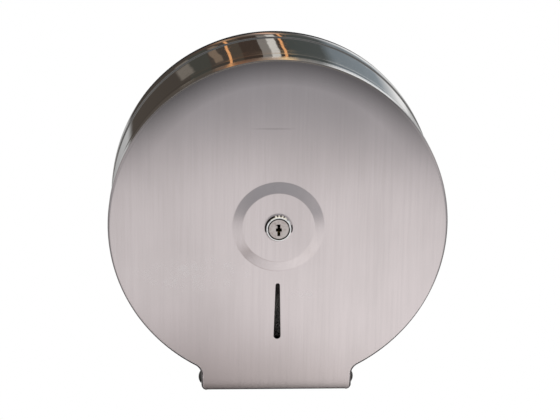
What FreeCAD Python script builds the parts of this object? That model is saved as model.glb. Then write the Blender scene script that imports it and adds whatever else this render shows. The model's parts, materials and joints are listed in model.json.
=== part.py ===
import FreeCAD, Part
import math
import os

# Jumbo toilet roll dispenser in stainless sheet.
# Millimetres. X to the right, Y back towards the wall, Z up.
# The wall is the plane y = 0 and the drum's axis is the Y axis.

# Overall form
drum_radius = 136.5
drum_depth = 118.4
tab_half_width = 61.6
tab_height = 12.5
tab_corner_radius = 4.5
neck_radius = 10.0

# Sheet thicknesses
door_sheet = 0.9
band_sheet = 0.8
pan_sheet = 0.8

# Clearances
swing_gap = 0.8
front_gap = 1.0
running_gap = 0.05
seat_gap = 0.3
fit_gap = 0.05
overrun = 5.0

# Door panel
door_flange_depth = 13.6
door_bend_radius = 2.0
boss_outer_radius = 36.8
boss_slope_run = 8.6
boss_height = 2.0
hem_height = 7.0
hem_gap = 0.2
ear_radius = 5.8

# Level slot in the door
slot_top_drop = 47.8
slot_bottom_drop = 95.8
slot_top_radius = 1.75
slot_bottom_radius = 2.85

# Drum band
band_lap = 9.5
step_rear_depth = 91.4
band_lip_depth = 7.0
band_lip_bend = 1.8
cheek_lift = 1.8

# Back pan
pan_depth = 29.0
pan_straight = 10.0
pan_draw_in = 0.8
pan_bend_radius = 2.5
dish_slope_run = 7.0
dish_land = 2.0
dish_height = 3.0
screw_spacing_x = 140.0
screw_spacing_z = 120.0
screw_hole_radius = 3.25

# Door hinge at the tab
pivot_behind_face = 10.0
pivot_lift = 7.8
hinge_shank_radius = 2.5
hinge_head_radius = 5.1
hinge_head_height = 2.2
hinge_clinch_radius = 4.2
hinge_clinch_height = 1.4
hinge_washer_radius = 4.6
hinge_washer_sheet = 0.6
corner_relief_radius = 8.2

# Spindle on the back pan
spindle_radius = 19.0
spindle_wall = 1.5
spindle_front_depth = 104.0
spindle_base_sheet = 1.5
spindle_rivet_count = 4
rivet_shank_radius = 1.6
rivet_head_radius = 2.8
rivet_head_height = 1.4
rivet_head_gap = 1.2
rivet_edge_margin = 7.0
ring_groove_depth = 0.6
ring_groove_width = 1.2
ring_groove_setback = 0.9

# Core sleeve that turns on the spindle
sleeve_radius = 22.0
sleeve_flange_radius = 26.0
sleeve_flange_sheet = 2.5
sleeve_land_length = 8.0
sleeve_relief = 0.9
sleeve_lead_in = 1.5

# Retaining ring in front of the sleeve
ring_outer_radius = 20.6
ring_sheet = 1.1
ring_gap_half_width = 3.5
ring_lug_radius = 1.7
ring_lug_circle = 20.1
ring_lug_hole_radius = 0.8

# Strike cap in the mouth of the spindle
cap_sheet = 1.2
cap_skirt = 8.0
cap_hole_radius = 10.5
cap_slot_reach = 16.0

# Tear blades on the cheeks
blade_sheet = 0.8
blade_end_margin = 2.4
blade_height = 12.0
tooth_depth = 1.4
tooth_pitch = 2.9
blade_rivet_radius = 1.5
blade_rivet_head_radius = 2.4
blade_rivet_head_height = 1.0
blade_rivet_outer_height = 0.6
blade_rivet_margin = 8.0
blade_rivet_drop = 5.0

# Cam lock in the door
lock_head_radius = 11.5
lock_head_skirt = 0.8
lock_ring_radius = 9.9
lock_ring_width = 1.0
lock_head_height = 4.5
lock_head_bulge = 0.35
lock_barrel_radius = 9.0
lock_barrel_half_flats = 8.0
lock_barrel_depth = 17.8
plug_radius = 6.5
plug_head_radius = 8.6
plug_head_sheet = 2.2
plug_recess = 0.3
plug_tail_half_side = 3.0
keyway_depth = 15.0
keyway_half_width = 1.15
keyway_wing = 2.2
keyway_hook = 1.8
keyway_top = 4.0
keyway_hook_drop = 1.1
keyway_wing_top = 1.3
keyway_wing_bottom = 1.0
nut_sides = 6
nut_half_flats = 12.0
nut_sheet = 4.0
washer_radius = 12.6
washer_sheet = 0.9
washer_tooth_count = 12
washer_notch_radius = 1.1
wafer_count = 5
wafer_pitch = 2.3
wafer_sheet = 0.9
wafer_half_width = 2.5
wafer_half_height = 6.2
wafer_window_half_width = 1.5
wafer_window_half_height = 3.6
wafer_start = 4.0
cam_sheet = 2.0
cam_gap = 0.2
cam_half_width = 6.0
cam_reach = 14.5
cam_slot_gap = 1.5
cam_washer_radius = 4.0
cam_washer_sheet = 0.6
cam_screw_radius = 2.0
cam_screw_head_radius = 3.8
cam_screw_head_height = 2.2
cam_screw_length = 7.0
cam_screw_slot_half_width = 0.5
cam_screw_slot_depth = 1.0

# Places worked out from the sizes above
face_y = -drum_depth
door_inside_y = face_y + door_sheet
door_flange_rear_y = face_y + door_flange_depth
neck_x = tab_half_width + neck_radius
neck_z = -math.sqrt((drum_radius + neck_radius) ** 2 - neck_x ** 2)
neck_angle = math.degrees(math.atan2(-neck_z, neck_x))
tab_bottom_z = neck_z - tab_height
pivot_y = face_y + pivot_behind_face
pivot_z = tab_bottom_z + pivot_lift
band_inset = pan_sheet
band_front_inset = door_sheet + swing_gap
band_rear_y = -(pan_depth - band_lap)
band_front_y = door_inside_y + front_gap
step_rear_y = -step_rear_depth
step_front_y = door_flange_rear_y
cheek_bottom_z = tab_bottom_z + cheek_lift
cheek_inner_x = tab_half_width - band_inset - band_sheet
boss_inner_radius = boss_outer_radius - boss_slope_run
plateau_y = face_y - boss_height
spindle_rivet_circle = sleeve_flange_radius + rivet_head_gap + rivet_head_radius
spindle_base_radius = spindle_rivet_circle + rivet_edge_margin
dish_inner_radius = spindle_base_radius + dish_land
dish_outer_radius = dish_inner_radius + dish_slope_run
dish_front_y = -(pan_sheet + dish_height)
spindle_base_y = dish_front_y - spindle_base_sheet
spindle_front_y = -spindle_front_depth
spindle_bore = spindle_radius - spindle_wall
ring_groove_front_y = spindle_front_y + ring_groove_setback
ring_groove_rear_y = ring_groove_front_y + ring_groove_width
sleeve_rear_y = spindle_base_y - seat_gap
sleeve_front_y = ring_groove_rear_y + seat_gap
cap_rear_y = spindle_front_y + cap_sheet
lock_front_y = plateau_y - lock_head_height
barrel_rear_y = plateau_y + lock_barrel_depth
barrel_floor_y = lock_front_y + plug_recess + plug_head_sheet
cam_front_y = barrel_rear_y + cam_gap
cam_rear_y = cam_front_y + cam_sheet
cam_washer_rear_y = cam_rear_y + cam_washer_sheet
blade_front_y = step_rear_y + blade_end_margin
blade_rear_y = -(pan_depth + blade_end_margin)
blade_top_z = cheek_bottom_z + blade_height
blade_root_z = cheek_bottom_z
blade_rivet_z = blade_top_z - blade_rivet_drop

ORIGIN = FreeCAD.Vector(0, 0, 0)
TO_WALL = FreeCAD.Vector(0, 1, 0)
TO_FRONT = FreeCAD.Vector(0, -1, 0)
TO_RIGHT = FreeCAD.Vector(1, 0, 0)
HALF_BEND = 45.0
HALF_TURN = 180.0
FULL_TURN = 360.0


def point(x, y, z):
    return FreeCAD.Vector(x, y, z)


def line(start, end):
    return Part.LineSegment(start, end).toShape()


def arc(start, middle, end):
    return Part.Arc(start, middle, end).toShape()


def face_of(edges):
    return Part.Face(Part.Wire(edges))


def polygon(points):
    closed = list(points) + [points[0]]
    return Part.Face(Part.makePolygon(closed))


def mirrored(shape):
    return shape.mirror(ORIGIN, TO_RIGHT)


def both_sides(shape):
    return [shape, mirrored(shape)]


def joined(shapes):
    return shapes[0].multiFuse(shapes[1:]).removeSplitter()


def turned(shape, angle, x=0, z=0):
    """Turn about a line along Y through (x, z), from +X towards +Z."""
    copy = shape.copy()
    copy.rotate(point(x, 0, z), TO_FRONT, angle)
    return copy


def rod_y(radius, front_y, rear_y, x=0, z=0):
    return Part.makeCylinder(radius, rear_y - front_y, point(x, front_y, z), TO_WALL)


def rod_x(radius, left_x, right_x, y, z):
    return Part.makeCylinder(radius, right_x - left_x, point(left_x, y, z), TO_RIGHT)


def block(low, high):
    return Part.makeBox(high.x - low.x, high.y - low.y, high.z - low.z, low)


def lathe(profile):
    """Solid of revolution about Y, from (radius, y) corners."""
    return polygon([point(r, y, 0) for r, y in profile]).revolve(ORIGIN, TO_WALL, FULL_TURN)


def polar(radius, angle, x=0, z=0):
    """Point in the plane y = 0 at an angle from +X towards +Z."""
    bearing = math.radians(angle)
    return point(x + radius * math.cos(bearing), 0, z + radius * math.sin(bearing))


def dome_x(radius, height, base_x, y, z):
    """Shallow rivet head on the plane x = base_x, rising to the right."""
    sphere_radius = (radius ** 2 + height ** 2) / (2 * height)
    centre_x = base_x + height - sphere_radius
    ball = Part.makeSphere(sphere_radius, point(centre_x, y, z))
    return ball.common(rod_x(radius, base_x, base_x + height, y, z))


def dome_y(radius, height, base_y, x, z):
    """Shallow rivet head on the plane y = base_y, rising to the front."""
    sphere_radius = (radius ** 2 + height ** 2) / (2 * height)
    centre_y = base_y - height + sphere_radius
    ball = Part.makeSphere(sphere_radius, point(x, centre_y, z))
    return ball.common(rod_y(radius, base_y - height, base_y, x, z))


# Outline of drum and tab


def outline_face(inset, bottom_z, corner):
    """Drum and tab seen from the front, drawn in by an inset."""
    radius = drum_radius - inset
    half_width = tab_half_width - inset
    neck = neck_radius + inset
    reach = radius / (drum_radius + neck_radius)
    on_drum = point(neck_x * reach, 0, neck_z * reach)
    on_tab = point(half_width, 0, neck_z)
    in_neck = polar(neck, HALF_TURN - neck_angle / 2, neck_x, neck_z)
    above_corner = point(half_width, 0, bottom_z + corner)
    in_corner = polar(corner, -HALF_BEND, half_width - corner, bottom_z + corner)
    below_corner = point(half_width - corner, 0, bottom_z)
    flip = FreeCAD.Matrix(-1, 0, 0, 0, 0, 1, 0, 0, 0, 0, 1, 0, 0, 0, 0, 1)
    top = point(0, 0, radius)
    return face_of([
        line(flip * below_corner, below_corner),
        arc(below_corner, in_corner, above_corner),
        line(above_corner, on_tab),
        arc(on_tab, in_neck, on_drum),
        arc(on_drum, top, flip * on_drum),
        arc(flip * on_drum, flip * in_neck, flip * on_tab),
        line(flip * on_tab, flip * above_corner),
        arc(flip * above_corner, flip * in_corner, flip * below_corner),
    ])


def outline_plate(inset, bottom_z, corner, front_y, rear_y):
    plate = outline_face(inset, bottom_z, corner)
    plate.translate(point(0, front_y, 0))
    return plate.extrude(point(0, rear_y - front_y, 0))


# A sheet section is drawn in the plane z = 0, with x as minus its inset
# from the outline. These three carry it round the drum, the neck and the cheek.


def round_the_drum(section):
    start = section.copy()
    start.translate(point(drum_radius, 0, 0))
    sweep = HALF_TURN + 2 * neck_angle
    return turned(start, -neck_angle).revolve(ORIGIN, TO_FRONT, sweep)


def round_the_neck(section):
    start = mirrored(section)
    start.translate(point(neck_x + neck_radius, 0, neck_z))
    start = turned(start, HALF_TURN - neck_angle, neck_x, neck_z)
    return start.revolve(point(neck_x, 0, neck_z), TO_FRONT, neck_angle)


def down_the_cheek(section, bottom_z):
    start = section.copy()
    start.translate(point(tab_half_width, 0, bottom_z))
    return start.extrude(point(0, 0, neck_z - bottom_z))


def formed_wall(drum_section, tab_section, bottom_z):
    pieces = [round_the_drum(drum_section)]
    pieces += both_sides(round_the_neck(tab_section))
    pieces += both_sides(down_the_cheek(tab_section, bottom_z))
    return joined(pieces)


def bend_points(x, y, radius, up):
    """Start, middle and end of a quarter bend from the wall (x) to the flat (y)."""
    share = 1 - math.cos(math.radians(HALF_BEND))
    start = point(x, y + up * radius, 0)
    middle = point(x - radius * share, y + up * radius * share, 0)
    end = point(x - radius, y, 0)
    return start, middle, end


def pressed_step(outer_radius, inner_radius, height, sheet, flat_y):
    """Round pressed step: soft S slope up to a plateau in front of flat_y."""
    middle_radius = (outer_radius + inner_radius) / 2
    half_run = (outer_radius - inner_radius) / 2
    half_rise = height / 2
    slope = 2 * math.atan2(half_rise, half_run)
    bend = half_run / math.sin(slope)
    bulge_run = bend * math.sin(slope / 2)
    bulge_rise = bend * (1 - math.cos(slope / 2))

    def surface(base_y):
        outer = point(outer_radius, base_y, 0)
        low = point(outer_radius - bulge_run, base_y - bulge_rise, 0)
        middle = point(middle_radius, base_y - half_rise, 0)
        high = point(inner_radius + bulge_run, base_y - height + bulge_rise, 0)
        inner = point(inner_radius, base_y - height, 0)
        return outer, low, middle, high, inner

    front = surface(flat_y)
    back = surface(flat_y + sheet)
    front_centre = point(0, flat_y - height, 0)
    back_centre = point(0, flat_y - height + sheet, 0)
    profile = face_of([
        arc(front[0], front[1], front[2]),
        arc(front[2], front[3], front[4]),
        line(front[4], front_centre),
        line(front_centre, back_centre),
        line(back_centre, back[4]),
        arc(back[4], back[3], back[2]),
        arc(back[2], back[1], back[0]),
        line(back[0], front[0]),
    ])
    return profile.revolve(ORIGIN, TO_WALL, FULL_TURN)


# Back pan


def pan_section():
    crown_y = -(pan_depth - pan_straight)
    crown_run = -pan_bend_radius - crown_y
    crown_radius = (crown_run ** 2 + pan_draw_in ** 2) / (2 * pan_draw_in)
    half_run = crown_run / 2
    crown_sag = crown_radius - math.sqrt(crown_radius ** 2 - half_run ** 2)

    def wall(inset):
        lip = point(-inset, -pan_depth, 0)
        straight = point(-inset, crown_y, 0)
        middle = point(-inset - crown_sag, crown_y + half_run, 0)
        return lip, straight, middle

    outer = wall(0)
    inner = wall(pan_sheet)
    bend_outer = bend_points(-pan_draw_in, 0, pan_bend_radius, -1)
    bend_inner = bend_points(-pan_draw_in - pan_sheet, -pan_sheet, pan_bend_radius - pan_sheet, -1)
    return face_of([
        line(outer[0], outer[1]),
        arc(outer[1], outer[2], bend_outer[0]),
        arc(*bend_outer),
        line(bend_outer[2], bend_inner[2]),
        arc(bend_inner[2], bend_inner[1], bend_inner[0]),
        arc(bend_inner[0], inner[2], inner[1]),
        line(inner[1], inner[0]),
        line(inner[0], outer[0]),
    ])


def screw_places():
    half_x = screw_spacing_x / 2
    half_z = screw_spacing_z / 2
    return [(x, z) for x in (-half_x, half_x) for z in (-half_z, half_z)]


def spindle_rivet_places():
    step = FULL_TURN / spindle_rivet_count
    angles = [step * (index + 0.5) for index in range(spindle_rivet_count)]
    return [polar(spindle_rivet_circle, angle) for angle in angles]


def back_pan():
    inset = pan_draw_in + pan_bend_radius
    plate = outline_plate(inset, cheek_bottom_z, pan_sheet, -pan_sheet, 0)
    plate = plate.cut(rod_y(dish_outer_radius, -overrun, overrun))
    dish = lathe([
        (dish_outer_radius, 0),
        (dish_inner_radius, -dish_height),
        (0, -dish_height),
        (0, dish_front_y),
        (dish_inner_radius, dish_front_y),
        (dish_outer_radius, -pan_sheet),
    ])
    section = pan_section()
    rim = formed_wall(section, section, cheek_bottom_z)
    pan = joined([plate, dish, rim])
    for x, z in screw_places():
        pan = pan.cut(rod_y(screw_hole_radius, -overrun, overrun, x, z))
    for place in spindle_rivet_places():
        hole = rod_y(rivet_shank_radius + fit_gap, dish_front_y - overrun, overrun, place.x, place.z)
        pan = pan.cut(hole)
    return pan


# Drum band


def band_tab_section():
    def surface(offset):
        return [
            point(-band_inset - offset, band_rear_y, 0),
            point(-band_inset - offset, step_rear_y, 0),
            point(-band_front_inset - offset, step_front_y, 0),
            point(-band_front_inset - offset, band_front_y, 0),
        ]

    return polygon(surface(0) + surface(band_sheet)[::-1])


def band_drum_section():
    outer_bend = bend_points(-band_front_inset, band_front_y, band_lip_bend, 1)
    inner_bend = bend_points(
        -band_front_inset - band_sheet, band_front_y + band_sheet, band_lip_bend - band_sheet, 1
    )
    lip_front = point(-band_front_inset - band_lip_depth, band_front_y, 0)
    lip_rear = point(-band_front_inset - band_lip_depth, band_front_y + band_sheet, 0)

    def surface(offset):
        rear = point(-band_inset - offset, band_rear_y, 0)
        step_rear = point(-band_inset - offset, step_rear_y, 0)
        step_front = point(-band_front_inset - offset, step_front_y, 0)
        return rear, step_rear, step_front

    outer = surface(0)
    inner = surface(band_sheet)
    return face_of([
        line(outer[0], outer[1]),
        line(outer[1], outer[2]),
        line(outer[2], outer_bend[0]),
        arc(*outer_bend),
        line(outer_bend[2], lip_front),
        line(lip_front, lip_rear),
        line(lip_rear, inner_bend[2]),
        arc(inner_bend[2], inner_bend[1], inner_bend[0]),
        line(inner_bend[0], inner[2]),
        line(inner[2], inner[1]),
        line(inner[1], inner[0]),
        line(inner[0], outer[0]),
    ])


def corner_relief():
    """What a cheek loses outside a circle about the pivot, so the door face can swing past."""
    low = point(-drum_radius, pivot_y - pivot_behind_face, tab_bottom_z - overrun)
    high = point(drum_radius, pivot_y, pivot_z)
    corner = block(low, high)
    return corner.cut(rod_x(corner_relief_radius, -drum_radius, drum_radius, pivot_y, pivot_z))


def drum_band():
    band = formed_wall(band_drum_section(), band_tab_section(), cheek_bottom_z)
    band = band.cut(corner_relief())
    band = band.cut(rod_x(hinge_shank_radius + fit_gap, -drum_radius, drum_radius, pivot_y, pivot_z))
    for y in blade_rivet_ys():
        hole = rod_x(blade_rivet_radius + fit_gap, -drum_radius, drum_radius, y, blade_rivet_z)
        band = band.cut(hole)
    return band


# Tear blades


def blade_rivet_ys():
    return [blade_front_y + blade_rivet_margin, blade_rear_y - blade_rivet_margin]


def tear_blade():
    """Right-hand blade with a sawtooth lower edge that runs from front to back."""
    length = blade_rear_y - blade_front_y
    count = max(1, round(length / tooth_pitch))
    pitch = length / count
    corners = [(blade_rear_y, blade_top_z), (blade_front_y, blade_top_z), (blade_front_y, blade_root_z)]
    for index in range(count):
        start_y = blade_front_y + index * pitch
        corners.append((start_y + pitch / 2, blade_root_z - tooth_depth))
        corners.append((start_y + pitch, blade_root_z))
    left_x = cheek_inner_x - blade_sheet
    blade = polygon([point(left_x, y, z) for y, z in corners]).extrude(point(blade_sheet, 0, 0))
    for y in blade_rivet_ys():
        hole = rod_x(blade_rivet_radius + fit_gap, left_x - overrun, left_x + overrun, y, blade_rivet_z)
        blade = blade.cut(hole)
    return blade


def blade_rivet(y):
    inner_x = cheek_inner_x - blade_sheet
    outer_x = cheek_inner_x + band_sheet
    shank = rod_x(blade_rivet_radius, inner_x, outer_x, y, blade_rivet_z)
    head = mirrored(dome_x(blade_rivet_head_radius, blade_rivet_head_height, -inner_x, y, blade_rivet_z))
    tail_end_x = outer_x + blade_rivet_outer_height
    tail = rod_x(blade_rivet_head_radius, outer_x, tail_end_x, y, blade_rivet_z)
    return joined([shank, head, tail])


def blade_rivets():
    rivets = []
    for y in blade_rivet_ys():
        rivets += both_sides(blade_rivet(y))
    return Part.makeCompound(rivets)


# Spindle


def spindle_tube():
    groove_floor = spindle_radius - ring_groove_depth
    return lathe([
        (spindle_bore, dish_front_y),
        (spindle_radius, dish_front_y),
        (spindle_radius, ring_groove_rear_y),
        (groove_floor, ring_groove_rear_y),
        (groove_floor, ring_groove_front_y),
        (spindle_radius, ring_groove_front_y),
        (spindle_radius, spindle_front_y),
        (spindle_bore, spindle_front_y),
    ])


def spindle_base():
    """Disc on the pan's dish that holds the tube's rear end."""
    disc = rod_y(spindle_base_radius, spindle_base_y, dish_front_y)
    disc = disc.cut(rod_y(spindle_radius + fit_gap, spindle_base_y, dish_front_y))
    for place in spindle_rivet_places():
        hole = rod_y(rivet_shank_radius + fit_gap, spindle_base_y, dish_front_y, place.x, place.z)
        disc = disc.cut(hole)
    return disc


def spindle_rivets():
    rear_y = dish_front_y + pan_sheet
    rivets = []
    for place in spindle_rivet_places():
        shank = rod_y(rivet_shank_radius, spindle_base_y, rear_y, place.x, place.z)
        head = dome_y(rivet_head_radius, rivet_head_height, spindle_base_y, place.x, place.z)
        tail = rod_y(rivet_head_radius, rear_y, rear_y + rivet_head_height, place.x, place.z)
        rivets.append(joined([shank, head, tail]))
    return Part.makeCompound(rivets)


def strike_cap():
    """Cup in the spindle's mouth. The cam passes its slot and turns behind its face."""
    outer = spindle_bore - fit_gap
    inner = outer - cap_sheet
    cup = rod_y(outer, spindle_front_y, spindle_front_y + cap_skirt)
    cup = cup.cut(rod_y(inner, cap_rear_y, spindle_front_y + cap_skirt + overrun))
    cup = cup.cut(rod_y(cap_hole_radius, spindle_front_y - overrun, cap_rear_y + overrun))
    half_slot = cam_half_width + cam_slot_gap
    slot = block(
        point(-half_slot, spindle_front_y - overrun, 0),
        point(half_slot, cap_rear_y, cap_slot_reach),
    )
    slot = slot.common(rod_y(cap_slot_reach, spindle_front_y - overrun, cap_rear_y))
    return cup.cut(slot)


def retaining_ring():
    groove_floor = spindle_radius - ring_groove_depth
    front_y = ring_groove_front_y + fit_gap
    rear_y = front_y + ring_sheet
    ring = rod_y(ring_outer_radius, front_y, rear_y)
    lug_x = ring_gap_half_width + ring_lug_radius
    lug_z = math.sqrt(ring_lug_circle ** 2 - lug_x ** 2)
    for x in (-lug_x, lug_x):
        ring = ring.fuse(rod_y(ring_lug_radius, front_y, rear_y, x, lug_z))
    ring = ring.cut(rod_y(groove_floor + fit_gap, front_y - overrun, rear_y + overrun))
    for x in (-lug_x, lug_x):
        ring = ring.cut(rod_y(ring_lug_hole_radius, front_y - overrun, rear_y + overrun, x, lug_z))
    gap = block(
        point(-ring_gap_half_width, front_y - overrun, 0),
        point(ring_gap_half_width, rear_y + overrun, ring_outer_radius + overrun),
    )
    return ring.cut(gap)


def core_sleeve():
    bore = spindle_radius + running_gap
    relief = bore + sleeve_relief
    flange_front_y = sleeve_rear_y - sleeve_flange_sheet
    return lathe([
        (bore, sleeve_rear_y),
        (sleeve_flange_radius, sleeve_rear_y),
        (sleeve_flange_radius, flange_front_y),
        (sleeve_radius, flange_front_y),
        (sleeve_radius, sleeve_front_y + sleeve_lead_in),
        (sleeve_radius - sleeve_lead_in, sleeve_front_y),
        (bore, sleeve_front_y),
        (bore, sleeve_front_y + sleeve_land_length),
        (relief, sleeve_front_y + sleeve_land_length + sleeve_relief),
        (relief, sleeve_rear_y - sleeve_land_length - sleeve_relief),
        (bore, sleeve_rear_y - sleeve_land_length),
    ])


# Door panel


def door_section():
    outer = bend_points(0, face_y, door_bend_radius, 1)
    inner = bend_points(-door_sheet, door_inside_y, door_bend_radius - door_sheet, 1)
    outer_rear = point(0, door_flange_rear_y, 0)
    inner_rear = point(-door_sheet, door_flange_rear_y, 0)
    return face_of([
        line(outer_rear, outer[0]),
        arc(*outer),
        line(outer[2], inner[2]),
        arc(inner[2], inner[1], inner[0]),
        line(inner[0], inner_rear),
        line(inner_rear, outer_rear),
    ])


def door_ear():
    """Right-hand ear: the flange runs on round the hinge pivot."""
    front_y = face_y + door_bend_radius
    left_x = tab_half_width - door_sheet
    low_z = pivot_z - ear_radius
    fair = ear_radius * math.cos(math.radians(HALF_BEND))
    ear = face_of([
        line(point(left_x, front_y, neck_z), point(left_x, front_y, low_z)),
        line(point(left_x, front_y, low_z), point(left_x, pivot_y, low_z)),
        arc(
            point(left_x, pivot_y, low_z),
            point(left_x, pivot_y + fair, pivot_z - fair),
            point(left_x, pivot_y + ear_radius, pivot_z),
        ),
        line(point(left_x, pivot_y + ear_radius, pivot_z), point(left_x, door_flange_rear_y, neck_z)),
        line(point(left_x, door_flange_rear_y, neck_z), point(left_x, front_y, neck_z)),
    ])
    return ear.extrude(point(door_sheet, 0, 0))


def door_cheek_bend():
    """Right-hand bend between the face and the ear, down to the tab's bottom."""
    outer = bend_points(0, face_y, door_bend_radius, 1)
    inner = bend_points(-door_sheet, door_inside_y, door_bend_radius - door_sheet, 1)
    section = face_of([
        arc(*outer),
        line(outer[2], inner[2]),
        arc(inner[2], inner[1], inner[0]),
        line(inner[0], outer[0]),
    ])
    return down_the_cheek(section, tab_bottom_z)


def door_hem():
    """Bottom edge of the tab, folded back on itself."""
    fold_radius = door_sheet + hem_gap / 2
    half_length = tab_half_width - tab_corner_radius
    fold_z = tab_bottom_z + fold_radius
    fold_y = face_y + fold_radius
    inner_radius = hem_gap / 2
    top_z = tab_bottom_z + hem_height
    rear_y = face_y + 2 * fold_radius
    gap_rear_y = door_inside_y + hem_gap
    x = -half_length
    hem = face_of([
        line(point(x, face_y, top_z), point(x, face_y, fold_z)),
        arc(point(x, face_y, fold_z), point(x, fold_y, tab_bottom_z), point(x, rear_y, fold_z)),
        line(point(x, rear_y, fold_z), point(x, rear_y, top_z)),
        line(point(x, rear_y, top_z), point(x, gap_rear_y, top_z)),
        line(point(x, gap_rear_y, top_z), point(x, gap_rear_y, fold_z)),
        arc(
            point(x, gap_rear_y, fold_z),
            point(x, fold_y, fold_z - inner_radius),
            point(x, door_inside_y, fold_z),
        ),
        line(point(x, door_inside_y, fold_z), point(x, door_inside_y, top_z)),
        line(point(x, door_inside_y, top_z), point(x, face_y, top_z)),
    ])
    return hem.extrude(point(2 * half_length, 0, 0))


def level_slot():
    """Long tapered slot with round ends, wider at the bottom."""
    top_z = -(slot_top_drop + slot_top_radius)
    bottom_z = -(slot_bottom_drop - slot_bottom_radius)
    lean = math.degrees(math.asin((slot_bottom_radius - slot_top_radius) / (top_z - bottom_z)))
    top_right = polar(slot_top_radius, lean, 0, top_z)
    top_left = polar(slot_top_radius, HALF_TURN - lean, 0, top_z)
    bottom_right = polar(slot_bottom_radius, lean, 0, bottom_z)
    bottom_left = polar(slot_bottom_radius, HALF_TURN - lean, 0, bottom_z)
    slot = face_of([
        arc(top_right, point(0, 0, top_z + slot_top_radius), top_left),
        line(top_left, bottom_left),
        arc(bottom_left, point(0, 0, bottom_z - slot_bottom_radius), bottom_right),
        line(bottom_right, top_right),
    ])
    slot.translate(point(0, face_y - overrun, 0))
    return slot.extrude(point(0, 2 * overrun, 0))


def barrel_shape(radius, half_flats, front_y, rear_y):
    """Round bar with two flats, left and right."""
    bar = rod_y(radius, front_y, rear_y)
    flats = block(point(-half_flats, front_y, -radius), point(half_flats, rear_y, radius))
    return bar.common(flats)


def door_panel():
    section = door_section()
    wall = [round_the_drum(section)]
    for piece in (round_the_neck(section), door_cheek_bend(), door_ear()):
        wall += both_sides(piece)
    plate = outline_plate(door_bend_radius, tab_bottom_z, tab_corner_radius, face_y, door_inside_y)
    plate = plate.cut(rod_y(boss_outer_radius, face_y - overrun, face_y + overrun))
    half_length = tab_half_width - tab_corner_radius
    hem_bite = block(
        point(-half_length, face_y - overrun, tab_bottom_z - overrun),
        point(half_length, face_y + overrun, tab_bottom_z + hem_height),
    )
    boss = pressed_step(boss_outer_radius, boss_inner_radius, boss_height, door_sheet, face_y)
    door = joined([plate.cut(hem_bite), boss, door_hem()] + wall)
    envelope = outline_plate(0, tab_bottom_z, tab_corner_radius, plateau_y - overrun, 0)
    door = door.common(envelope)
    door = door.cut(level_slot())
    lock_hole = barrel_shape(
        lock_barrel_radius + fit_gap, lock_barrel_half_flats + fit_gap,
        plateau_y - overrun, plateau_y + overrun,
    )
    door = door.cut(lock_hole)
    pivot_hole = rod_x(hinge_shank_radius + running_gap, -drum_radius, drum_radius, pivot_y, pivot_z)
    return door.cut(pivot_hole)


# Hinge rivets and washers


def hinge_rivet():
    """Right-hand rivet: domed head outside the ear, clinched inside the cheek."""
    head_x = tab_half_width + running_gap
    clinch_x = tab_half_width - band_front_inset - band_sheet
    head = dome_x(hinge_head_radius, hinge_head_height, head_x, pivot_y, pivot_z)
    shank = rod_x(hinge_shank_radius, clinch_x, head_x, pivot_y, pivot_z)
    clinch = mirrored(dome_x(hinge_clinch_radius, hinge_clinch_height, -clinch_x, pivot_y, pivot_z))
    return joined([head, shank, clinch])


def hinge_washer():
    """Right-hand washer between ear and cheek."""
    left_x = tab_half_width - band_front_inset + (swing_gap - hinge_washer_sheet) / 2
    right_x = left_x + hinge_washer_sheet
    disc = rod_x(hinge_washer_radius, left_x, right_x, pivot_y, pivot_z)
    return disc.cut(rod_x(hinge_shank_radius + running_gap, left_x, right_x, pivot_y, pivot_z))


# Cam lock


def lock_housing():
    ring_bore = lock_ring_radius - lock_ring_width
    skirt = point(lock_head_radius, plateau_y - lock_head_skirt, 0)
    ring_edge = point(lock_ring_radius, lock_front_y, 0)
    bulge_x = (skirt.x + ring_edge.x) / 2 + lock_head_bulge
    bulge_y = (skirt.y + ring_edge.y) / 2 - lock_head_bulge
    barrel_top = point(lock_barrel_radius, plateau_y, 0)
    barrel_end = point(lock_barrel_radius, barrel_rear_y, 0)
    base_edge = point(lock_head_radius, plateau_y, 0)
    bore_radius = plug_radius + running_gap
    corners = [
        point(ring_bore, lock_front_y, 0),
        point(ring_bore, barrel_floor_y, 0),
        point(bore_radius, barrel_floor_y, 0),
        point(bore_radius, barrel_rear_y, 0),
        barrel_end,
        barrel_top,
        base_edge,
        skirt,
    ]
    edges = [line(start, end) for start, end in zip(corners, corners[1:])]
    edges.append(arc(skirt, point(bulge_x, bulge_y, 0), ring_edge))
    edges.append(line(ring_edge, corners[0]))
    housing = face_of(edges).revolve(ORIGIN, TO_WALL, FULL_TURN)
    for side in (-1, 1):
        inner = side * lock_barrel_half_flats
        outer = side * (lock_barrel_radius + overrun)
        flat = block(
            point(min(inner, outer), plateau_y, -lock_barrel_radius - overrun),
            point(max(inner, outer), barrel_rear_y + overrun, lock_barrel_radius + overrun),
        )
        housing = housing.cut(flat)
    return housing


def keyway():
    """Key slot seen from the front: hook at the top, wings in the middle."""
    shape = polygon([
        point(x, lock_front_y - overrun, z) for x, z in (
            (-keyway_half_width, -keyway_top),
            (keyway_half_width, -keyway_top),
            (keyway_half_width, -keyway_wing_bottom),
            (keyway_wing, -keyway_wing_bottom),
            (keyway_wing, keyway_wing_top),
            (keyway_half_width, keyway_wing_top),
            (keyway_half_width, keyway_top),
            (-keyway_hook, keyway_top),
            (-keyway_hook, keyway_top - keyway_hook_drop),
            (-keyway_half_width, keyway_top - keyway_hook_drop),
            (-keyway_half_width, keyway_wing_top),
            (-keyway_wing, keyway_wing_top),
            (-keyway_wing, -keyway_wing_bottom),
            (-keyway_half_width, -keyway_wing_bottom),
        )
    ])
    return shape.extrude(point(0, overrun + plug_recess + keyway_depth, 0))


def wafer_ys():
    first = barrel_floor_y + wafer_start
    return [first + index * wafer_pitch for index in range(wafer_count)]


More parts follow.
